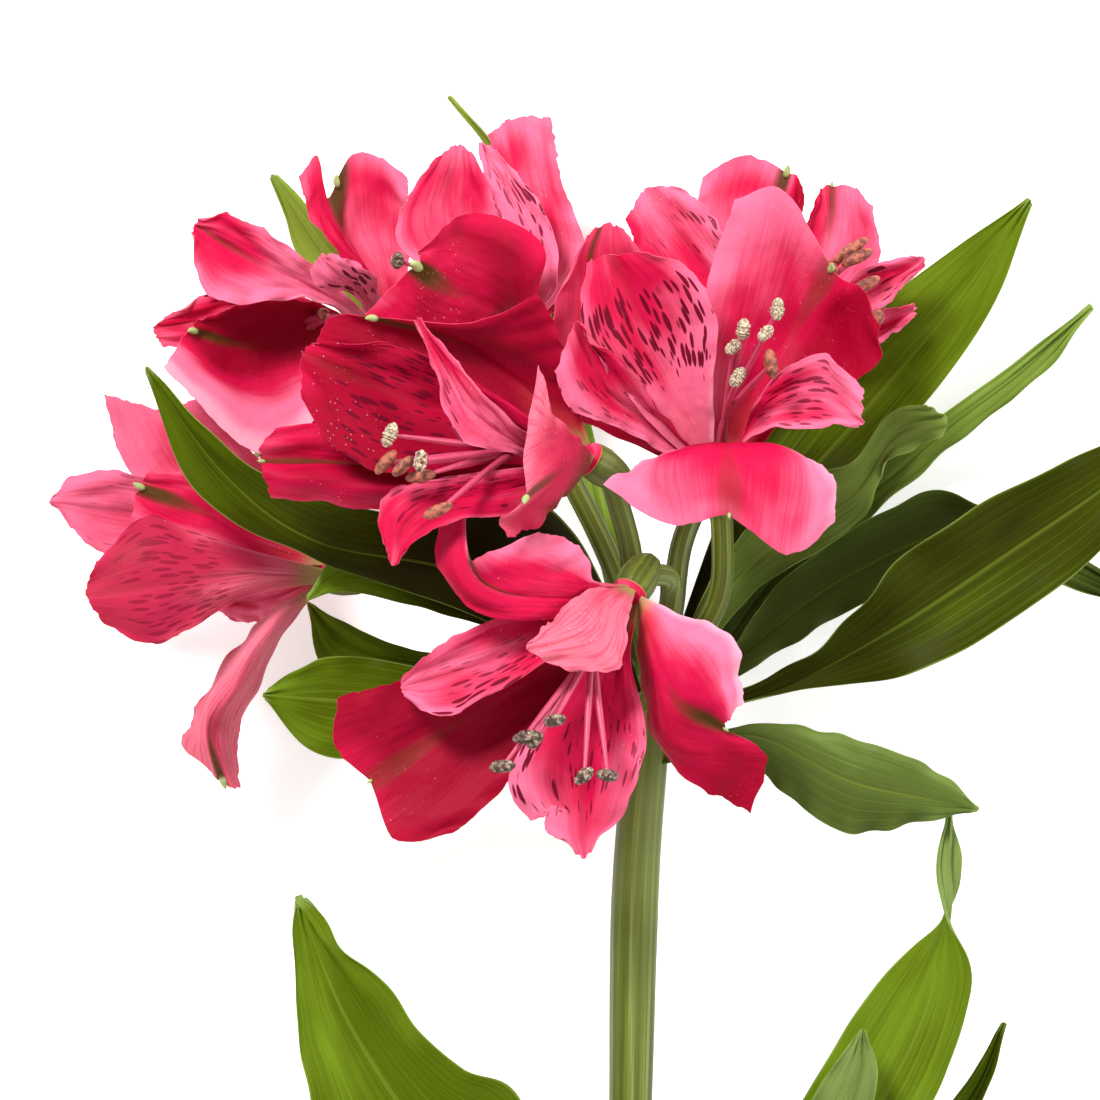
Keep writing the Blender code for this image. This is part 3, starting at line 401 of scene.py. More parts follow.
# Leaves: what sets each apart from LEAF_LOOK, a point near its root, and three lines of points from the root
# out: its left edge, its midrib and its right edge.
LEAVES = {
    "over_bloom_d": ({"light": 0.4, "tone": (-2.2, 0.2, 0, 0)}, """
    -3.2 1 4.5
    -32 15 17, -58 24.5 20, -79 36 23, -88 57 22
    -30 21 18, -58 27.5 20, -74 39 22, -88 58 22
    -9 21 3, -18 34 10, -30 32 16, -50 33.5 19, -70 41 23, -87.5 58 22"""),
    "curled_left": ({"light": 0.1, "tone": (-2.6, 1.8, 0, 0)}, """
    -5.5 -1.5 1.5
    -22 10 8, -40 16 11, -53 19 13, -60 17.5 17
    -20 13 7, -38 21 10, -53 23 12, -60 18 17
    -18 17 8, -38 26 11, -53 27 13, -60 18.5 17"""),
    "broad_left": ({"light": 0.7, "ruffle": 0.7, "tone": (-0.6, 0.2, 0, 0)}, """
    -5.5 -8.5 1.5
    -22 -6 3, -40 -9 4, -58 -9.5 5, -67.5 0 6
    -22 -3 2, -42 -1 3, -57 0 4, -68 1 6
    -22 0 3, -42 6 4, -57 7.5 5, -67 2 6"""),
    "left_corner": ({"light": 0.8, "tone": (-0.6, 0.2, 0, 0)}, """
    -5.2 -5 -1.8
    -22 2 -5, -40 2.5 -7, -57 5 -9, -60.3 16 -9
    -22 4 -6, -40 6 -8, -53 9 -9, -60.5 17 -9
    -22 6 -5, -41 8.5 -7, -52 12.5 -8, -60 17 -9"""),
    "upper_left": ({"light": 1.6, "tone": (0.5, 0.5, 0, 0)}, """
    -3.5 1 -3.5
    -31 41 -26, -49 62 -27, -61.7 77 -24, -64.6 85 -22, -67.3 91.5 -20
    -28 42 -27, -46 64 -28, -58 78 -25, -67 92.5 -20
    -25 43 -26, -43 66 -27, -53.5 78 -24, -58.5 84.5 -22, -66 92.3 -20"""),
    "thin_top": ({"light": 2.2}, """
    -0.5 -4 -5
    -14 44 -25, -20 70 -28, -27.3 94 -28, -36 106.2 -25
    -12 45 -26, -18.3 71 -29, -26.4 94.5 -29, -35.7 106.5 -25
    -10 46 -25, -16.5 72 -28, -25.5 95 -28, -35.3 106.3 -25"""),
    "behind_bloom_a": ({"light": -0.3, "ruffle": 0.5, "tone": (-0.7, 1.6, 0, 0)}, """
    3 0 -4.5
    13 34 -20, 25 57 -22, 46 74 -18, 66 88 -12
    20 30 -19, 37 50 -21, 53 69 -18, 66.5 88 -12
    26 30 -18, 43 46 -20, 59 67 -17, 67 87 -12"""),
    "narrow_right": ({"light": 0.3, "ruffle": 0.7, "pale": 0.4, "tone": (-1.0, 1.7, 0, 0)}, """
    2 -7 -4.5
    22 27 -26, 41 41.5 -26, 52 50.5 -23, 63 58.5 -20, 77 69.3 -14
    24 24 -26, 43 39.5 -26, 53 48 -23, 66 58 -19.5, 77.5 69.3 -14
    26 21 -25, 46 38 -25, 54 45.5 -23, 68 56.5 -19, 77.7 68.6 -14"""),
    "curled_right": ({"light": 0.5, "pale": 0.6, "ruffle": 1.0, "tone": (-1.0, 1.4, 0, 0)}, """
    4.8 2 -1.5
    12 24 -3, 24 37 -3, 35 42 -1, 41.5 50 2, 48 51.8 5
    14 20 -3, 27 31 -4, 36 37 -2, 43 46.5 1, 51.5 49 5
    17 18 -3, 30 26.5 -4, 37 32 -3, 42 42 0, 51 46.5 4"""),
    "big_right": ({"light": -0.15, "ruffle": 0.9}, """
    4.5 -3 3.8
    20 3.8 10, 34 14 13, 44 25.5 14, 66 39 12, 93 50.5 4
    22 2 9, 42 12.5 11.5, 64 27 11, 80 38 8, 94 50 4
    24 1.5 10, 44 4.3 12.5, 59 12 13, 78 26 11, 94 49 4"""),
    "behind_big_right": ({"pale": 0.6, "light": 0.1, "ruffle": 0.9, "tone": (0, -0.1, 0, 0)}, """
    4.8 -4 -1.8
    14 9 -5, 22 20 -7, 31 27 -8, 42 33.5 -11, 54 36 -12, 84 20 -8
    17 9 -4, 35 22 -9, 56 29 -12, 84 18 -8
    20 7 -4, 38 17 -9, 60 22 -11, 83 17 -8"""),
    "lower_right": ({"pale": 0.85, "ruffle": 0.5, "tone": (-0.6, 0, 0.5, 0)}, """
    4.5 -10 3
    20 -4 7, 38 -7.5 8, 50 -12.5 8, 56.5 -18.5 8
    17 -6 8, 34 -14 10, 47 -17 10, 57 -19 8
    14 -9.5 7, 32 -22.5 8, 45 -21.5 8, 56 -19.3 8"""),
    "stem_left": ({"light": 0.75, "ruffle": 0.9}, """
    -10.3 -112 0
    -26 -107 8, -52 -91 14, -61 -62 14, -62.5 -36 11
    -22 -100 6, -38 -79 11, -53 -56 12, -62 -34 10
    -13 -95 6, -23 -69.5 12, -33 -64 12.5, -41 -57 13, -46.5 -49 14, -55 -42 12.5, -61 -35 11"""),
    "stem_right": ({"light": 0.75, "ruffle": 0.8, "tone": (0, 0.5, 0, 0)}, """
    0.5 -118 0
    13 -92 6, 29 -65 9, 39 -49.5 9, 51.5 -37 4, 53 -28 3, 52.2 -18 4
    18 -97 5, 36 -76 8, 47 -56 8, 51.5 -37 6, 51.5 -28 5, 52 -18 4
    23 -103 5, 45 -77 9, 55.5 -51 9, 51.5 -37 8, 50 -28 6, 51.8 -18 4"""),
    "stem_small": ({"pale": 1, "tone": (0.3, 0.3, 0, 0)}, """
    -2 -108 5
    9 -92 13, 24 -74 16, 31 -64 17, 36 -57.3 16
    12 -94 13, 28 -77 15, 34.5 -66 16, 36.5 -57 16
    15 -97 13, 33 -80 16, 39 -67 17, 37 -57.3 16"""),
    "stem_thin": ({}, """
    -1 -126 -4.5
    26 -98 -9, 42 -81 -10, 54 -69 -9, 61.5 -56.7 -8
    28 -101 -10, 44 -83 -11, 56 -70 -10, 62 -56.7 -8
    31 -104 -9, 48 -85 -10, 58 -70.5 -9, 62.3 -57 -8"""),
    "stem_lowest": ({}, """
    -13 -162 0
    -33 -150 5, -56 -133 6, -66 -112 5, -70 -97 2
    -31 -143 4, -50 -125 5, -62 -109 4, -70 -97 2
    -28 -136 5, -44 -116 6, -58 -104 5, -69.5 -97 2"""),
}

# How dusty with pollen an anther of each kind is, and how dark.
POLLEN = {"beige": (1.0, 0.0), "brown": (0.0, 0.0), "mixed": (0.6, 0.1), "dark": (0.7, 0.75)}

# How a tepal looks: its tone from pale to crimson, partly its own colour and partly painted light, deeper
# crimson where it lies in shade and paler where light falls on it (added at the claw, at the tip, at the left
# edge and at the right), how strong its dashes are, whether its front and its back have the inner face's
# colours, the dark streak below its tip, how far its edges ruffle, the notch in the tip and how large the
# green horn in it is.
PLAIN = {"tone": (0, 0, 0, 0), "dashes": 1, "sides": (1, 0)}
TEPAL_LOOKS = {
    INNER: PLAIN | {"dark": 0.15, "ruffle": 0.45, "notch": 0, "horn": 0},
    OUTER: PLAIN | {"dark": 0.8, "ruffle": 0.4, "notch": 0.7, "horn": 1},
}

# How a leaf looks: how much of its pale underside it shows, its painted light (how brightly lit it is
# painted), how far its edges ruffle, and its painted light and shade from dark to light (added at the root,
# at the tip, at the left edge and at the right), mostly darker at the root, where the blooms shade it.
LEAF_LOOK = {"pale": 0, "light": 0.5, "ruffle": 0.35, "tone": (0, 0, 0, 0)}

# Colours, as the photo shows them, in linear light.
PINK = (0.5, 0.004, 0.048)
PINK_DEEP = (0.27, 0.0002, 0.017)
PINK_PALE = (0.74, 0.14, 0.25)
PINK_WHITE = (0.78, 0.3, 0.4)
# Painted glints of light on the tepals' cells.
PINK_PAINTED_GLINT = (0.85, 0.5, 0.55)
THROAT = (0.5, 0.05, 0.05)
BACK = (0.42, 0.016, 0.055)
BACK_LIGHT = (0.66, 0.13, 0.19)
# Painted shade: the dark brown of a tepal's back where it lies in shadow.
BACK_PAINTED_SHADE = (0.15, 0.024, 0.018)
BACK_BASE = (0.2, 0.11, 0.035)
STREAK = (0.12, 0.0, 0.012)
TIP_DARK = (0.055, 0.035, 0.004)
CLAW = (0.3, 0.26, 0.08)
HORN_DARK = (0.2, 0.27, 0.07)
HORN_LIGHT = (0.4, 0.46, 0.18)
# Painted shade: the brownish dark of leaves where they lie under the blooms.
LEAF_SHADE = (0.014, 0.012, 0.001)
LEAF_DEEP = (0.028, 0.034, 0.0005)
LEAF_MID = (0.058, 0.085, 0.001)
LEAF_LIGHT = (0.115, 0.18, 0.007)
LEAF_BRIGHT = (0.22, 0.33, 0.045)
LEAF_VEIN = (0.16, 0.21, 0.02)
LEAF_RIM = (0.24, 0.32, 0.07)
LEAF_BACK = (0.07, 0.1, 0.02)
LEAF_BACK_LIGHT = (0.15, 0.21, 0.055)
STEM_DARK = (0.05, 0.064, 0.004)
STEM_LIGHT = (0.11, 0.135, 0.012)
STEM_PALE = (0.25, 0.29, 0.09)
FILAMENT_DEEP = (0.34, 0.01, 0.045)
FILAMENT = (0.45, 0.03, 0.09)
FILAMENT_PALE = (0.8, 0.2, 0.32)
DUST_DARK = (0.16, 0.11, 0.07)
DUST_LIGHT = (0.66, 0.53, 0.37)
ANTHER_DARK = (0.11, 0.018, 0.01)
ANTHER_BROWN = (0.4, 0.1, 0.05)
ANTHER_DRY = (0.05, 0.018, 0.014)
ANTHER_GROOVE = (0.04, 0.01, 0.008)
PAPER = (0.9, 0.9, 0.9)
PAPER_LIGHT = (0.93, 0.93, 0.93)

# Dashes of the inner tepals: how many to a millimetre.
DASHES_ACROSS = 0.95
DASHES_ALONG = 0.36

WORLD_STRENGTH = 0.42
FLOOR_GLOW = 0.42
LAMP_TARGET = (0, 0.08, 0.05)
LAMPS = [
    ("key", (-1.0, 1.6, 2.3), 0.75, 118.0),
    ("rim", (2.4, 0.6, 1.2), 0.9, 45.0),
    ("front", (0.8, -0.8, 2.6), 1.8, 25.0),
]


def between(before, start, end, after, t):
    """The Catmull-Rom curve from start to end, at t from 0 to 1."""
    return 0.5 * (2 * start + (end - before) * t
                  + (2 * before - 5 * start + 4 * end - after) * t**2
                  + (3 * start - before - 3 * end + after) * t**3)


def smooth_path(points, count):
    """Count points, evenly spaced, along a Catmull-Rom curve through the given ones."""
    knots = np.array(points, float)
    knots = np.vstack([2 * knots[0] - knots[1], knots, 2 * knots[-1] - knots[-2]])
    shares = np.linspace(0, 1, 16, endpoint=False)[:, None]
    fours = zip(knots, knots[1:], knots[2:], knots[3:])
    dense = np.vstack([*(between(*four, shares) for four in fours), knots[-2]])
    along = np.concatenate([[0], np.cumsum(np.linalg.norm(np.diff(dense, axis=0), axis=1))])
    wanted = np.linspace(0, along[-1], count)
    return np.column_stack([np.interp(wanted, along, dense[:, k]) for k in range(3)])


def unit(vectors):
    return vectors / np.maximum(np.linalg.norm(vectors, axis=-1, keepdims=True), 1e-9)


def smooth_step(x):
    x = np.clip(x, 0, 1)
    return x * x * (3 - 2 * x)


def across(lines, s):
    """The points at s, from -1 on the first line to 1 on the last, on curves across them all."""
    knots = [2 * lines[0] - lines[1], *lines, 2 * lines[-1] - lines[-2]]
    place = (s + 1) / 2 * (len(lines) - 1)
    k = min(int(place), len(lines) - 2)
    return between(*knots[k:k + 4], place - k)


def fine_grid(edges, rows, columns):
    """Points all over a blade, in rows from its root to its tip, each from its left to its right."""
    lines = [smooth_path(edge, rows + 1) for edge in edges]
    return np.stack([across(lines, s) for s in np.linspace(-1, 1, columns + 1)], axis=1)


def spread(grid):
    """How far up a grid its rows are, t from 0 to 1, and how far across its columns are, s from -1 to 1."""
    return np.linspace(0, 1, grid.shape[0])[:, None], np.linspace(-1, 1, grid.shape[1])[None, :]


def grid_normals(grid):
    """The unit normals of a grid's front face. Where its points run together they follow the row before."""
    cross = np.cross(np.gradient(grid, axis=1), np.gradient(grid, axis=0))
    size = np.linalg.norm(cross, axis=-1, keepdims=True)
    normals = cross / np.maximum(size, 1e-9)
    for i in range(1, len(grid)):
        weak = size[i, :, 0] < 1e-4
        normals[i, weak] = normals[i - 1, weak]
    return normals


def lifted(grid, lift):
    return grid + grid_normals(grid) * lift[..., None]


def wander(rng, x, waves):
    """A smooth random curve over x from 0 to 1, about 1 high and with about so many waves."""
    total = 0
    for _ in range(4):
        total = total + np.sin(math.tau * (waves * rng.uniform(0.6, 1.5) * x + rng.uniform()))
    return total / 2


def ruffled(grid, rng, amount, waves):
    """The grid with its free edges waved off its plane."""
    t, s = spread(grid)
    sides = np.where(s < 0, wander(rng, t, waves), wander(rng, t, waves)) * np.abs(s) ** 3
    tip = wander(rng, (s + 1) / 2, waves * 0.5) * t**6 * 0.7
    return lifted(grid, amount * (sides + tip) * smooth_step(t / 0.4))


def crumpled(grid, rng, amount):
    """The grid with soft creases all over it, stronger towards the tip."""
    t, s = spread(grid)
    lift = 0
    for _ in range(9):
        lengthwise, crosswise = rng.uniform(0.5, 4.5), rng.uniform(1.0, 4.0) * rng.choice([-1, 1])
        lift = lift + np.sin(math.tau * (lengthwise * t + crosswise * s / 2 + rng.uniform())) / 3
    return lifted(grid, amount * lift * smooth_step(t / 0.6))


def serrated(grid, rng, amount, notch):
    """The grid with small uneven teeth along its upper edge and a shallow notch at its tip."""
    rows, columns = grid.shape[:2]
    t, s = spread(grid)
    aside = unit(np.gradient(grid, axis=1)) * np.sign(s)[..., None]
    onward = unit(np.gradient(grid, axis=0))
    teeth = rng.normal(0, 1, (rows, 2)) + 1.2 * np.stack([wander(rng, t[:, 0], 9) for _ in range(2)], axis=1)
    side_teeth = np.where(s < 0, teeth[:, :1], teeth[:, 1:]) * np.abs(s) ** 14 * smooth_step((t - 0.5) / 0.3)
    ends = rng.normal(0, 1, columns) + 1.2 * wander(rng, (s[0] + 1) / 2, 6)
    dip = np.exp(-((s / 0.16) ** 2)) * t**12 * notch
    return grid + aside * (amount * side_teeth)[..., None] + onward * (amount * ends * t**30 - dip)[..., None]


def keeled(grid, depth, width):
    """The grid with a groove along its midrib, on its front face."""
    t, s = spread(grid)
    groove = depth * np.exp(-((s / width) ** 2)) * smooth_step(t / 0.3) * smooth_step((1 - t) / 0.1)
    return lifted(grid, -groove)


def plain_mesh(name, corners, faces):
    """A mesh of four-cornered faces, some of them with a corner given twice."""
    mesh = bpy.data.meshes.new(name)
    mesh.from_pydata(corners.tolist(), [], [list(dict.fromkeys(face)) for face in faces.tolist()])
    return mesh


def mark(mesh, name, rows):
    """Gives each corner of a mesh a number, or three, for its material to read."""
    kind, field = ("FLOAT", "value") if rows.ndim == 1 else ("FLOAT_VECTOR", "vector")
    marks = mesh.attributes.new(name, kind, "POINT")
    marks.data.foreach_set(field, rows.astype(np.float32).ravel())


class Builder:
    """Collects shells for one mesh, each with its corners, its faces and its marks:

    blade is how far across the blade a corner is, how far along it and whether it is on the upper face,
    look what sets the piece apart, size half its width, its length and the strength of its dashes,
    tone how deep its colour is, its own tone and painted light and shade together, and finish which
    material its faces have.
    """

    def __init__(self):
        self.shells = []
        self.count = 0

    def add(self, corners, faces, blade, look, finish=0, tone=0.5, size=(1, 1, 0)):
        count = len(corners)
        rows = np.zeros((count, 3))
        finishes = np.full(len(faces), finish)
        marks = (blade, rows + look, rows + size, rows[:, 0] + tone)
        self.shells.append((corners, faces + self.count, finishes, *marks))
        self.count += count

    def joined(self):
        return [np.concatenate(parts) for parts in zip(*self.shells)]

    def sheet(self, grid, thickness, look, tones_and_shade=(0, 0, 0, 0), strength=1.0, sides=(1, 0)):
        """A closed thin sheet round a grid, thinner towards its edges."""
        rows, columns = grid.shape[:2]
        size = rows * columns
        t, s = (places + np.zeros((rows, columns)) for places in spread(grid))
        half = 0.5 * thickness * (1 - 0.65 * np.maximum(np.abs(s) ** 6, t**12))
        shift = grid_normals(grid) * half[..., None]
        index = np.arange(size).reshape(rows, columns)
        top = np.stack([index[:-1, :-1], index[:-1, 1:], index[1:, 1:], index[1:, :-1]], axis=-1)
        top = top.reshape(-1, 4)
        rim = np.concatenate([index[0, :], index[1:, -1], index[-1, -2::-1], index[-2:0:-1, 0]])
        after = np.roll(rim, -1)
        edge = np.stack([after, rim, rim + size, after + size], axis=-1)
        # The tone mark holds the blade's own tone and painted light and shade, ramped from root to tip and to
        # each edge.
        low, high, left, right = tones_and_shade
        tone = 0.5 + low * (1 - t) + high * t
        tone = tone + left * np.maximum(0, -s) ** 1.6 + right * np.maximum(0, s) ** 1.6
        widest = np.linalg.norm(np.diff(grid, axis=1), axis=-1).sum(axis=1).max()
        tall = np.linalg.norm(np.diff(grid[:, columns // 2], axis=0), axis=-1).sum()
        strengths = np.interp(s.ravel(), (-1, 1), np.zeros(2) + strength)
        sizes = np.column_stack([np.full(size, widest / 2), np.full(size, tall), strengths])
        corners = np.concatenate([grid + shift, grid - shift]).reshape(-1, 3)
        faces = np.concatenate([top, top[:, ::-1] + size, edge])
        blade = [np.column_stack([s.ravel(), t.ravel(), np.full(size, side)]) for side in sides]
        self.add(corners, faces, np.concatenate(blade), look, tone=np.tile(tone.ravel(), 2),
                 size=np.tile(sizes, (2, 1)))

    def rod(self, points, radii, sides, look, finish=0, shape=np.ones_like):
        """A closed round rod along the points. shape(angle) scales its radius round it."""
        count = len(points)
        along = unit(np.gradient(points, axis=0))
        right = unit(np.cross(along[0], [0.31, 0.2, 0.93]))
        angles = np.arange(sides) * math.tau / sides
        rings = []
        for k in range(count):
            right = unit(right - (right @ along[k]) * along[k])
            other = np.cross(along[k], right)
            ring = np.cos(angles)[:, None] * right + np.sin(angles)[:, None] * other
            rings.append(points[k] + ring * (radii[k] * shape(angles))[:, None])
        index = np.arange(count * sides).reshape(count, sides)
        after = np.roll(index, -1, axis=1)
        wall = np.stack([index[:-1], after[:-1], after[1:], index[1:]], axis=-1).reshape(-1, 4)
        foot, head = np.full(sides, count * sides), np.full(sides, count * sides + 1)
        low = np.stack([after[0], index[0], foot, foot], axis=-1)
        high = np.stack([index[-1], after[-1], head, head], axis=-1)
        turn = np.tile(angles / math.tau, count)
        rise = np.repeat(np.linspace(0, 1, count), sides)
        blade = np.vstack([np.column_stack([turn, rise, np.ones_like(turn)]), [[0, 0, 1], [0, 1, 1]]])
        corners = np.vstack([*rings, points[:1], points[-1:]])
        self.add(corners, np.concatenate([wall, low, high]), blade, look, finish)

    def object(self, name, materials):
        """The finished piece, laid down in the row frame."""
        corners, faces, finishes, *marks = self.joined()
        mesh = plain_mesh(name, corners, faces)
        mesh.polygons.foreach_set("material_index", finishes)
        for key, rows in zip(("blade", "look", "size", "tone"), marks):
            mark(mesh, key, rows)
        for finish in materials:
            mesh.materials.append(finish)
        return placed(name, mesh)


def placed(name, mesh):
    """An object of a mesh given in the plant's frame, shaded smooth and moved to the row frame."""
    mesh.polygons.foreach_set("use_smooth", np.ones(len(mesh.polygons), bool))
    mesh.set_sharp_from_angle(angle=math.radians(SHARP_EDGE_DEG))
    mesh.transform(TO_ROW)
    mesh.update()
    made = bpy.data.objects.new(name, mesh)
    bpy.context.scene.collection.objects.link(made)
    return made


def ride_for(piece, node):
    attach(piece, "root")
    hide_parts(node)


def points(text):
    return [np.array(point.split(), float) for point in text.split(",")]


def rows_of(text):
    return text.strip().split("\n")


def bloom_frame(bloom):
    return np.array(bloom["base"], float), unit(np.array(bloom["axis"], float))


def tepal_edges(bloom, lines):
    """The tepal's lines, started at its narrow claw on the receptacle's ring."""
    base, axis = bloom_frame(bloom)
    out = lines[len(lines) // 2][0] - base
    out = unit(out - (out @ axis) * axis)
    side = lines[0][0] - lines[-1][0]
    side = unit(side - (side @ axis) * axis - (side @ out) * out)
    root = base + axis * (RECEPTACLE_HEIGHT * 0.4) + out * CLAW_RING_RADIUS
    shares = np.linspace(CLAW_HALF_WIDTH, -CLAW_HALF_WIDTH, len(lines))
    return [[root + side * share, *line] for share, line in zip(shares, lines)]


def petals(letter, bloom, materials):
    """The receptacle and the six tepals of one bloom."""
    build = Builder()
    base, axis = bloom_frame(bloom)
    rise = np.linspace(RECEPTACLE_FOOT, 1, len(RECEPTACLE_SWELL)) * RECEPTACLE_HEIGHT
    girth = RECEPTACLE_RADIUS * np.array(RECEPTACLE_SWELL)
    build.rod(base + axis * rise[:, None], girth, ROUND_SIDES, (0, 0.5, 0))
    for number in range(6):
        rng = np.random.default_rng([ord(letter), number])
        kind, look, text = TEPALS[f"{letter}{number}"]
        look = TEPAL_LOOKS[kind] | look
        edges = tepal_edges(bloom, [points(row) for row in rows_of(text)])
        grid = ruffled(fine_grid(edges, TEPAL_ROWS, TEPAL_COLUMNS), rng, look["ruffle"], TEPAL_WAVES)
        grid = serrated(crumpled(grid, rng, TEPAL_CREASES), rng, TEPAL_TEETH, look["notch"])
        grid = keeled(grid, *TEPAL_GROOVE)
        marks = (kind == INNER, rng.uniform(), look["dark"])
        build.sheet(grid, TEPAL_THICKNESS, marks, look["tone"], look["dashes"], look["sides"])
        if look["horn"]:
            add_horn(build, grid, look["horn"])
    return build.object(f"bloom_{letter}_petals_fine", materials)


def add_horn(build, grid, size):
    """The small green horn at the tip of an outer tepal."""
    middle = grid.shape[1] // 2
    end = grid[-1, middle]
    onward = unit(end - grid[-5, middle])
    inward = grid_normals(grid)[-1, middle]
    steps = np.linspace(*HORN_REACH, len(HORN_RADII)) * size
    line = end + onward * steps[:, None] + inward * (0.15 + 0.18 * np.maximum(steps, 0) ** 2)[:, None]
    build.rod(line, np.array(HORN_RADII) * size, THIN_SIDES, (0, 0, 0), finish=1)


def grooved(angles):
    """An anther's cross-section, with its two grooves."""
    return 1 - ANTHER_GROOVE_DEPTH * np.exp(-(np.sin(angles) / ANTHER_GROOVE_WIDTH) ** 2)


def stamens(letter, bloom, materials):
    """The filaments with their anthers, from just above the receptacle."""
    build = Builder()
    base, axis = bloom_frame(bloom)
    foot = base + axis * (RECEPTACLE_HEIGHT + 0.4)
    for number, row in enumerate(rows_of(bloom["anthers"])):
        kind, *place = row.split()
        tip, lean = np.array(place[:3], float), np.array(place[3:], float)
        rng = np.random.default_rng([ord(letter), 40 + number])
        turn = [math.sin(number), math.cos(number)]
        start = foot + unit(np.cross(axis, [*turn, 0.2])) * 0.7
        line = smooth_path([start, bloom["throat"], tip], FILAMENT_RINGS)
        girth = np.interp(np.linspace(0, 1, FILAMENT_RINGS), *FILAMENT_RADII)
        build.rod(line, girth, THIN_SIDES, (0, rng.uniform(), 0))
        if len(lean) == 0:
            lean = unit(np.cross(axis, [*turn, 0.3])) * ANTHER_LENGTH
        steps = np.linspace(-1, 1, ANTHER_RINGS)
        dust, dark = POLLEN[kind]
        radii = ANTHER_RADIUS * np.sqrt(np.maximum(1 - steps**2 * 0.97, 0.01)) * 0.95
        radii = radii * (1 + (0.02 + 0.08 * dust) * rng.normal(size=ANTHER_RINGS))
        spine = tip + lean * (steps / 2)[:, None]
        build.rod(spine, radii, ROUND_SIDES, (dust, rng.uniform(), dark), 1, grooved)
    return build.object(f"bloom_{letter}_stamens_fine", materials)


def stem_rods():
    """Each rod of the stem: its kind, its line and its radii."""
    swell = np.interp(np.linspace(0, 1, STEM_RINGS), np.linspace(0, 1, len(STEM_SWELL)), STEM_SWELL)
    rods = [("stem", smooth_path(STEM_PATH, STEM_RINGS), STEM_RADIUS * swell)]
    for bloom in BLOOMS.values():
        base, axis = bloom_frame(bloom)
        middle = base - axis * (0.3 + OVARY_LENGTH / 2)
        way = smooth_path([(0, 0, 1), *points(bloom["stalk"]), middle], STALK_RINGS)
        rods.append(("stalk", way, np.full(STALK_RINGS, STALK_RADIUS)))
        ovary = base - axis * np.linspace(OVARY_LENGTH, 0.1, OVARY_RINGS)[:, None]
        girth = np.interp(np.linspace(0, 1, OVARY_RINGS), *OVARY_SWELL)
        rods.append(("ovary", ovary, OVARY_RADIUS * girth))
    return rods


def ribbed(angles):
    """An ovary's cross-section, with its ribs."""
    return 1 + RIB_HEIGHT * np.cos(OVARY_RIBS * angles)


def stem(material):
    """The stem, its stalks and ovaries, melted into one skin."""
    build = Builder()
    rods = stem_rods()
    for kind, line, radii in rods:
        build.rod(line, radii, STEM_SIDES, (0, 0, 0), shape=ribbed if kind == "ovary" else np.ones_like)
    corners, faces, *_ = build.joined()
    low = corners[:, 1] < CUT_AT[1] + STEM_RADIUS
    corners[low, 1] += (corners[low, 0] - CUT_AT[0]) * math.tan(math.radians(CUT_SLANT_DEG))
    holder = bpy.data.objects.new("stem_rough", plain_mesh("stem_rough", corners, faces))
    bpy.context.scene.collection.objects.link(holder)
    skin = holder.modifiers.new("skin", "REMESH")
    skin.mode = "VOXEL"
    skin.voxel_size = SKIN_VOXEL
    soft = holder.modifiers.new("soft", "SMOOTH")
    soft.factor = 0.5
    soft.iterations = SKIN_SOFTENING
    mesh = bpy.data.meshes.new_from_object(holder.evaluated_get(bpy.context.evaluated_depsgraph_get()))
    bpy.data.objects.remove(holder)
    mark_stem(mesh, rods)
    mesh.materials.clear()
    mesh.materials.append(material)
    return mesh


def mark_stem(mesh, rods):
    """Marks each corner with its place across the nearest rod and how far along it is."""
    lines = np.concatenate([line for _, line, _ in rods])
    alongs = np.concatenate([unit(np.gradient(line, axis=0)) for _, line, _ in rods])
    rights = unit(np.cross(alongs, [0.05, 0.1, 1.0]))
    tree = KDTree(len(lines))
    for k, point in enumerate(lines):
        tree.insert(point, k)
    tree.balance()
    steps = [np.linalg.norm(np.diff(line, axis=0), axis=1) for _, line, _ in rods]
    rises = np.concatenate([np.cumsum([0, *step]) for step in steps])
    near = [tree.find(corner.co)[1] for corner in mesh.vertices]
    out = np.array([corner.co for corner in mesh.vertices]) - lines[near]
    ups = np.cross(rights, alongs)[near]
    blade = [(out * rights[near]).sum(axis=1), (out * ups).sum(axis=1), rises[near]]
    mark(mesh, "blade", np.column_stack(blade))


def leaf(name, look, text, skin, material):
    """A leaf, rooted in the stem's skin, with its edges waved."""
    rng = np.random.default_rng([7, len(name), ord(name[0]), ord(name[-1])])
    root, left, middle, right = (points(row) for row in rows_of(text))
    touch, outward = (np.array(found) for found in skin.find_nearest(root[0])[:2])
    root = touch - outward * LEAF_ROOT_DEPTH
    side = left[0] - right[0]
    side = unit(side - (side @ outward) * outward) * LEAF_ROOT_HALF_WIDTH
    look = LEAF_LOOK | look
    edges = [[root + side, *left], [root, *middle], [root - side, *right]]
    grid = ruffled(waved(fine_grid(edges, LEAF_ROWS, LEAF_COLUMNS)), rng, look["ruffle"], LEAF_WAVES)
    grid = keeled(grid, *LEAF_GROOVE)
    build = Builder()
    build.sheet(grid, LEAF_THICKNESS, (look["pale"], rng.uniform(), look["light"]), look["tone"])
    return build.object("leaf_" + name + "_fine", [material])


def waved(grid):
    """The same long waves along a leaf's edges as the solids have."""
    t, s = spread(grid)
    along = unit(np.gradient(grid[:, grid.shape[1] // 2], axis=0))
    face = unit(np.cross(grid[:, 0] - grid[:, -1], along) + 1e-6)
    ripple = LEAF_WAVE * np.sin(math.tau * WAVES_PER_EDGE * t)
    ripple = ripple * smooth_step(t / 0.3) * smooth_step((1 - t) / 0.15)
    return grid + face[:, None] * (ripple * np.where(s < 0, 1, -1) * s**2)[..., None]


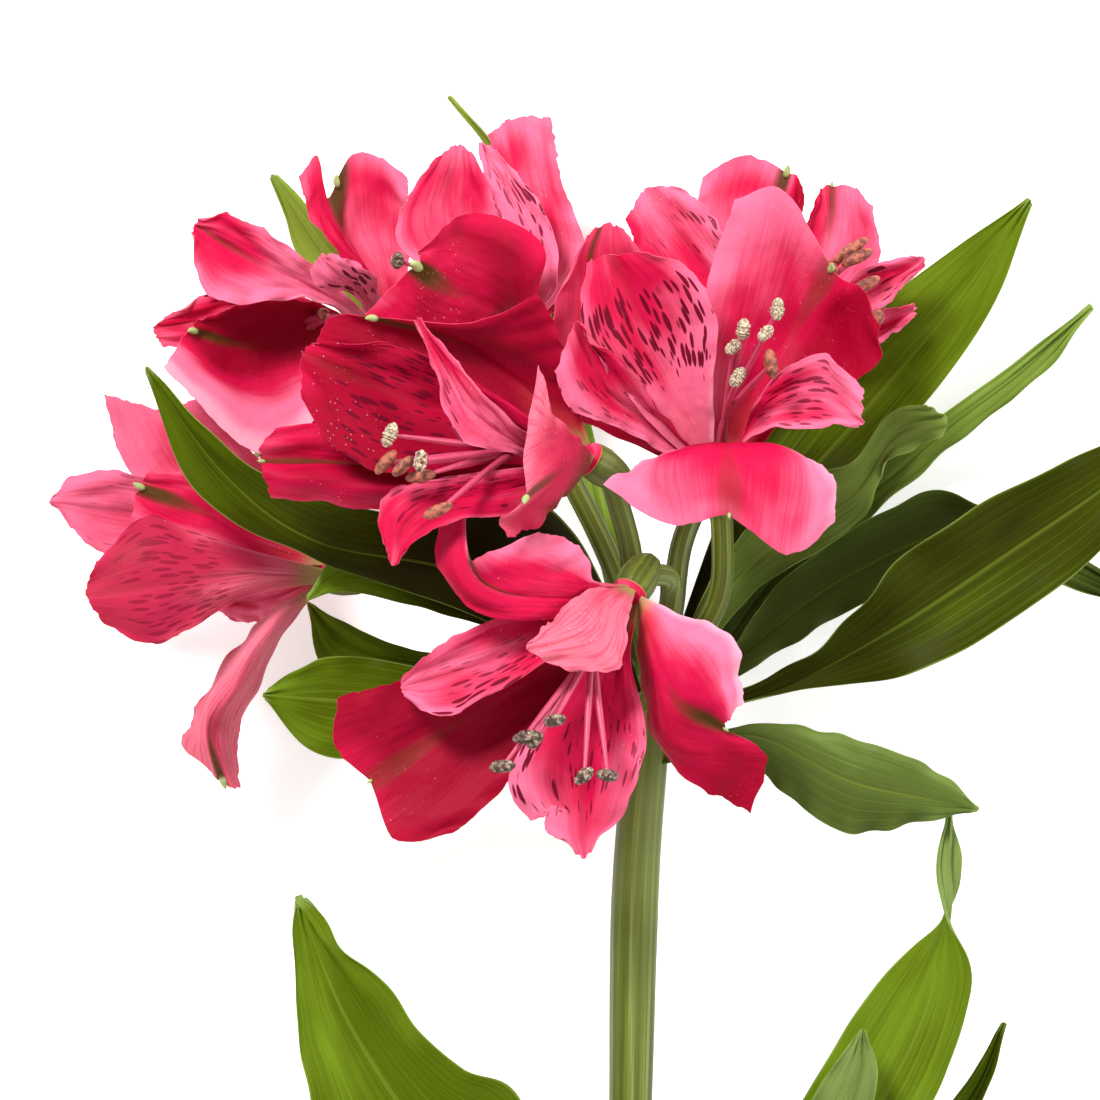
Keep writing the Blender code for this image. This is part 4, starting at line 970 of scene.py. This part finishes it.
class Value:
    """What a shader node gives. Sums with it add nodes to its tree."""

    def __init__(self, tree, socket):
        self.tree = tree
        self.socket = socket

    def __add__(self, other):
        return calc("ADD", self, other)

    def __sub__(self, other):
        return calc("SUBTRACT", self, other)

    def __mul__(self, other):
        return calc("MULTIPLY", self, other)

    def __pow__(self, other):
        return calc("POWER", self, other)

    def __abs__(self):
        return calc("ABSOLUTE", self)


def plug(socket, value):
    """Gives a shader input a node's output, a number, a direction or a colour."""
    if isinstance(value, Value):
        value.tree.links.new(value.socket, socket)
    elif isinstance(value, tuple) and len(value) < len(socket.default_value):
        socket.default_value = (*value, 1)
    else:
        socket.default_value = value


def node(tree, kind, inputs=None, output=0, **settings):
    made = tree.nodes.new("ShaderNode" + kind)
    for key, value in settings.items():
        setattr(made, key, value)
    for key, value in (inputs or {}).items():
        plug(made.inputs[key], value)
    return Value(tree, made.outputs[output])


def calc(operation, first, *others):
    return node(first.tree, "Math", dict(enumerate([first, *others])), operation=operation)


def larger(first, second):
    return calc("MAXIMUM", first, second)


def smaller(first, second):
    return calc("MINIMUM", first, second)


def ease(value, low, high):
    """0 below low, 1 above high and smooth between. With low above high it falls instead."""
    inputs = {"Value": value, "From Min": low, "From Max": high}
    return node(value.tree, "MapRange", inputs, interpolation_type="SMOOTHSTEP")


def spanned(share, low, high):
    return node(share.tree, "MapRange", {"Value": share, "To Min": low, "To Max": high})


def blend(share, first, second):
    """The first colour where share is 0, the second where it is 1."""
    return node(share.tree, "Mix", {0: share, 6: first, 7: second}, output=2, data_type="RGBA")


def shaded(share, first, *steps):
    """The first colour, and over it each step's colour as share goes from its low end to its high one."""
    for low, high, other in steps:
        first = blend(ease(share, low, high), first, other)
    return first


def vector(x, y, z):
    return node(z.tree, "CombineXYZ", {0: x, 1: y, 2: z})


def noise(place, scale=1.0, detail=2.0, roughness=0.5):
    inputs = {"Vector": place, "Scale": scale, "Detail": detail, "Roughness": roughness}
    return node(place.tree, "TexNoise", inputs, output="Fac")


def cells(place, scale, randomness):
    """How far each point is from the nearest of many scattered ones."""
    inputs = {"Vector": place, "Scale": scale, "Randomness": randomness}
    return node(place.tree, "TexVoronoi", inputs, output="Distance", voronoi_dimensions="3D")


def marks_of(tree, name):
    """The three numbers of a mark that the meshes carry."""
    mark = node(tree, "Attribute", output="Vector", attribute_name=name)
    split = node(tree, "SeparateXYZ", {0: mark})
    return [Value(tree, socket) for socket in split.socket.node.outputs]


def tone_and_shade_of(tree):
    return node(tree, "Attribute", output="Fac", attribute_name="tone")


def place_of(tree):
    return node(tree, "TexCoord", output="Object")


def new_material(name):
    made = bpy.data.materials.new(name)
    made.use_nodes = True
    return made, made.node_tree


def finished(made, face, rough, bump=None, specular=0.5, soft=None):
    """The material with its face's colour, its roughness, its bump (height, strength and depth), its specular
    level and how soft it is to light (share, radii and scale)."""
    inputs = made.node_tree.nodes["Principled BSDF"].inputs
    plug(inputs["Base Color"], face)
    plug(inputs["Roughness"], rough)
    inputs["Specular IOR Level"].default_value = specular
    if bump:
        height, strength, depth = bump
        bumps = {"Strength": strength, "Distance": depth, "Height": height}
        plug(inputs["Normal"], node(height.tree, "Bump", bumps))
    if soft:
        for key, value in zip(("Weight", "Radius", "Scale"), soft):
            inputs["Subsurface " + key].default_value = value
    return made


def dashes(s, t, seed, sizes):
    """How dark each point is with the dashes along an inner tepal's veins, short low down, longer above."""
    wide, tall, strength = sizes
    offset = seed * 37.0
    warp = noise(vector(s * 2.2, t * 2.5, offset)) - 0.5
    x = s * wide * DASHES_ACROSS + warp * 1.5
    y = t * tall * ((t * -0.32 + 1.0) * DASHES_ALONG)
    place = vector(x, y, offset)
    width = abs(s)
    reach = ease(t, 0.34, 0.5) * ease(t, 0.96, 0.78)
    lower = larger(ease(width, 0.05, 0.25), ease(t, 0.5, 0.58))
    clear = larger(ease(width, 0.03, 0.12), ease(t, 0.75, 0.6))
    wild = ease(noise(place, 0.24), 0.26, 0.46)
    size = reach * lower * (wild * clear) * 0.4 * strength ** 0.35
    return ease(cells(place, 1.0, 0.8) - size, 0.02, -0.08) * smaller(strength, 1.0)


def petal_material():
    made, tree = new_material("petal_skin")
    s, t, side = marks_of(tree, "blade")
    inner, seed, dark = marks_of(tree, "look")
    sizes = marks_of(tree, "size")
    place = place_of(tree)
    offset = seed * 53.0
    width = abs(s)
    fibre = noise(vector(s * sizes[0] * 2.2, t * 3.5, offset), detail=3.0)
    patch = noise(vector(s * 1.3, t * 2.2, offset))
    rim = larger(ease(width, 0.7, 1.0), ease(t, 0.85, 1.0))
    # depth mixes the tepal's own tone with painted light and shade: deep crimson where it lies in shade, pale
    # where light falls.
    depth = tone_and_shade_of(tree) + (patch - 0.5) * 1.3 + (fibre - 0.5) * 0.28 - rim * 0.22 - inner * 0.1
    base = shaded(depth, PINK_PALE, (-0.15, 0.5, PINK), (0.5, 1.0, PINK_DEEP), (-0.45, -1.3, PINK_WHITE))
    throat = ease(t + width * 0.2, 0.42, 0.22) * ease(depth, -0.9, 0.1)
    base = blend(throat * 0.4, base, THROAT)
    under = blend(ease(depth, 0.0, 0.9), BACK_LIGHT, BACK)
    under = blend(ease(fibre, 0.52, 0.62) * 0.45, under, BACK)
    # Painted shade: the back turns dark brown where the tone is deepest, for a back that lies in shadow.
    under = blend(ease(depth, 1.0, 1.7), under, BACK_PAINTED_SHADE)
    under = blend(ease(t, 0.24, 0.04) * 0.75, under, BACK_BASE)
    face = blend(side, under, base)
    face = blend(dashes(s, t, seed, sizes) * inner * (side * 0.47 + 0.5), face, STREAK)
    narrow = (ease(t, 0.6, 0.95) * 0.07 + 0.05) * larger(dark, 0.8)
    band = ease(width + (fibre - 0.5) * 0.14, narrow * 1.6, narrow * 0.5) * ease(t, 0.5, 0.9)
    face = blend(band * smaller(dark, 0.95), face, TIP_DARK)
    # Painted glints: pale pink specks scattered over the petal, in place of light sparkling on its cells.
    painted_glints = ease(cells(place, 900.0, 1.0), 0.15, 0.08) * ease(noise(place, 55.0), 0.53, 0.66)
    face = blend(painted_glints * 0.35, face, PINK_PAINTED_GLINT)
    face = blend(ease(t, 0.16, 0.02) * 0.8, face, CLAW)
    crease = noise(vector(s * 7.0, t * 3.0, offset), detail=1.0)
    height = fibre * 0.25 + crease + noise(place, 620.0, 0.0) * 0.5
    return finished(made, face, spanned(fibre, 0.48, 0.66), (height, 0.45, 0.0006), 0.08,
                    (0.2, (1.0, 0.15, 0.3), 0.001))


def horn_material():
    made, tree = new_material("horn_skin")
    _, t, _ = marks_of(tree, "blade")
    shade = blend(noise(place_of(tree), 900.0), HORN_DARK, HORN_LIGHT)
    shade = blend(ease(t, 0.35, 0.05), shade, TIP_DARK)
    return finished(made, shade, 0.5, soft=(0.2, (1.0, 0.2, 0.1), 0.001))


def leaf_material():
    made, tree = new_material("leaf_skin")
    s, t, side = marks_of(tree, "blade")
    pale, seed, light = marks_of(tree, "look")
    wide, _, _ = marks_of(tree, "size")
    offset = seed * 53.0
    aside = s * wide
    width = abs(s)
    fibre = noise(vector(aside * 1.9, t * 4.0, offset), detail=3.0)
    patch = noise(vector(s * 1.3, t * 3.5, offset)) - 0.5
    # Painted light and shade: each leaf's light and tone, and darker towards the root where the blooms shade
    # it; the patches and fibres are its own colour.
    depth = patch * 1.6 + light + (fibre - 0.5) * 0.8 - ease(t, 0.55, 0.15) * 0.3 + (tone_and_shade_of(tree) - 0.5)
    upper = shaded(depth, LEAF_SHADE, (-0.9, -0.2, LEAF_DEEP), (-0.2, 0.5, LEAF_MID), (0.5, 1.3, LEAF_LIGHT),
                   (1.3, 2.4, LEAF_BRIGHT))
    lower = shaded(depth, LEAF_DEEP, (-1.0, -0.2, LEAF_BACK), (0.2, 1.2, LEAF_BACK_LIGHT))
    face = blend(abs(side - pale), lower, upper)
    vein = ease(calc("SINE", aside * 3.6 + patch * 3.0), 0.75, 1.0)
    face = blend(vein * (ease(depth, -1.0, 0.4) * 0.14), face, LEAF_VEIN)
    face = blend(ease(width, 0.05, 0.01) * 0.35, face, LEAF_VEIN)
    rim = larger(ease(width, 0.965, 1.0), ease(t, 0.97, 1.0))
    face = blend(rim * 0.5, face, LEAF_RIM)
    return finished(made, face, spanned(fibre, 0.36, 0.52), (vein * -0.7 + fibre * 1.2, 0.4, 0.00015), 0.03,
                    (0.1, (0.4, 0.8, 0.1), 0.001))


def stem_material():
    made, tree = new_material("stem_skin")
    right, up, rise = marks_of(tree, "blade")
    turn = calc("ARCTAN2", up, right)
    stripe = noise(vector(calc("COSINE", turn) * 3.2, calc("SINE", turn) * 3.2, rise * 0.01), 1.0, 4.0, 0.62)
    face = blend(ease(stripe, 0.38, 0.6), STEM_DARK, STEM_LIGHT)
    face = blend(ease(stripe, 0.56, 0.7) * 0.8, face, STEM_PALE)
    face = blend(ease(noise(place_of(tree), 30.0), 0.45, 0.75) * 0.25, face, STEM_PALE)
    return finished(made, face, spanned(stripe, 0.36, 0.5), (stripe, 0.35, 0.0002), 0.25,
                    (0.12, (0.6, 1.0, 0.2), 0.002))


def filament_material():
    made, tree = new_material("filament_skin")
    _, t, _ = marks_of(tree, "blade")
    face = blend(ease(t, 0.2, 0.9), FILAMENT_DEEP, FILAMENT)
    face = blend(noise(place_of(tree), 700.0) * 0.16, face, FILAMENT_PALE)
    return finished(made, face, 0.45, soft=(0.3, (1.0, 0.3, 0.4), 0.001))


def anther_material():
    made, tree = new_material("anther_skin")
    turn, _, _ = marks_of(tree, "blade")
    kind, _, dark = marks_of(tree, "look")
    place = place_of(tree)
    grain = noise(place, 2600.0, 3.0, 0.7)
    clump = noise(place, 1100.0)
    dusty = blend(ease(grain, 0.4, 0.6), DUST_DARK, DUST_LIGHT)
    brown = blend(ease(clump, 0.35, 0.65), ANTHER_DARK, ANTHER_BROWN)
    face = blend(ease(kind + (clump - 0.5) * 1.2, 0.4, 0.6), brown, dusty)
    face = blend(ease(clump - dark, 0.05, -0.4), face, ANTHER_DRY)
    groove = abs(calc("SINE", turn * math.tau))
    face = blend(ease(groove, 0.4, 0.05) * 0.75, face, ANTHER_GROOVE)
    return finished(made, face, spanned(kind, 0.45, 0.9), (grain, 0.9, 0.0002))


def floor_material():
    made, tree = new_material("floor_paper")
    face = blend(noise(place_of(tree), 400.0), PAPER, PAPER_LIGHT)
    shader = tree.nodes["Principled BSDF"]
    shader.inputs["Emission Color"].default_value = (1, 1, 1, 1)
    shader.inputs["Emission Strength"].default_value = FLOOR_GLOW
    return finished(made, face, 0.9, specular=0.1)


def add_floor():
    mesh = bpy.data.meshes.new("floor")
    mesh.from_pydata([(-4, -4, 0), (4, -4, 0), (4, 4, 0), (-4, 4, 0)], [], [(0, 1, 2, 3)])
    mesh.materials.append(floor_material())
    floor = bpy.data.objects.new("floor", mesh)
    bpy.context.scene.collection.objects.link(floor)


def add_camera():
    """The photo's view: straight down on the plant's own face, from far off."""
    lens = bpy.data.cameras.new("camera")
    lens.sensor_width = 36.0
    lens.lens = 36.0 * VIEW_DISTANCE / VIEW_WIDTH
    lens.clip_end = 20.0
    camera = bpy.data.objects.new("camera", lens)
    bpy.context.scene.collection.objects.link(camera)
    place = TO_ROW @ Vector((*VIEW_MIDDLE, VIEW_DISTANCE))
    camera.matrix_world = Matrix.Translation(place) @ Euler(PLANT_TURN).to_matrix().to_4x4()
    bpy.context.scene.camera = camera


def add_lamp(name, place, size, power):
    lamp = bpy.data.lights.new(name, "AREA")
    lamp.shape = "SQUARE"
    lamp.size = size
    lamp.energy = power
    made = bpy.data.objects.new(name, lamp)
    bpy.context.scene.collection.objects.link(made)
    made.location = place
    made.rotation_euler = (Vector(LAMP_TARGET) - Vector(place)).to_track_quat("-Z", "Y").to_euler()


def add_light():
    world = bpy.data.worlds.new("studio")
    world.use_nodes = True
    sky = world.node_tree.nodes["Background"]
    sky.inputs[0].default_value = (1, 1, 1, 1)
    sky.inputs[1].default_value = WORLD_STRENGTH
    bpy.context.scene.world = world
    for lamp in LAMPS:
        add_lamp(*lamp)


def main():
    bpy.context.scene.view_settings.view_transform = "Standard"
    add_camera()
    add_floor()
    add_light()
    green = leaf_material()
    petal = [petal_material(), horn_material()]
    pollen = [filament_material(), anther_material()]
    mesh = stem(stem_material())
    corners = [corner.co for corner in mesh.vertices]
    skin = BVHTree.FromPolygons(corners, [face.vertices for face in mesh.polygons])
    for name, (look, text) in LEAVES.items():
        ride_for(leaf(name, look, text, skin, green), "leaf_" + name)
    ride_for(placed("stem_fine", mesh), "stem")
    for letter, bloom in BLOOMS.items():
        ride_for(petals(letter, bloom, petal), f"bloom_{letter}_petals")
        ride_for(stamens(letter, bloom, pollen), f"bloom_{letter}_stamens")


main()
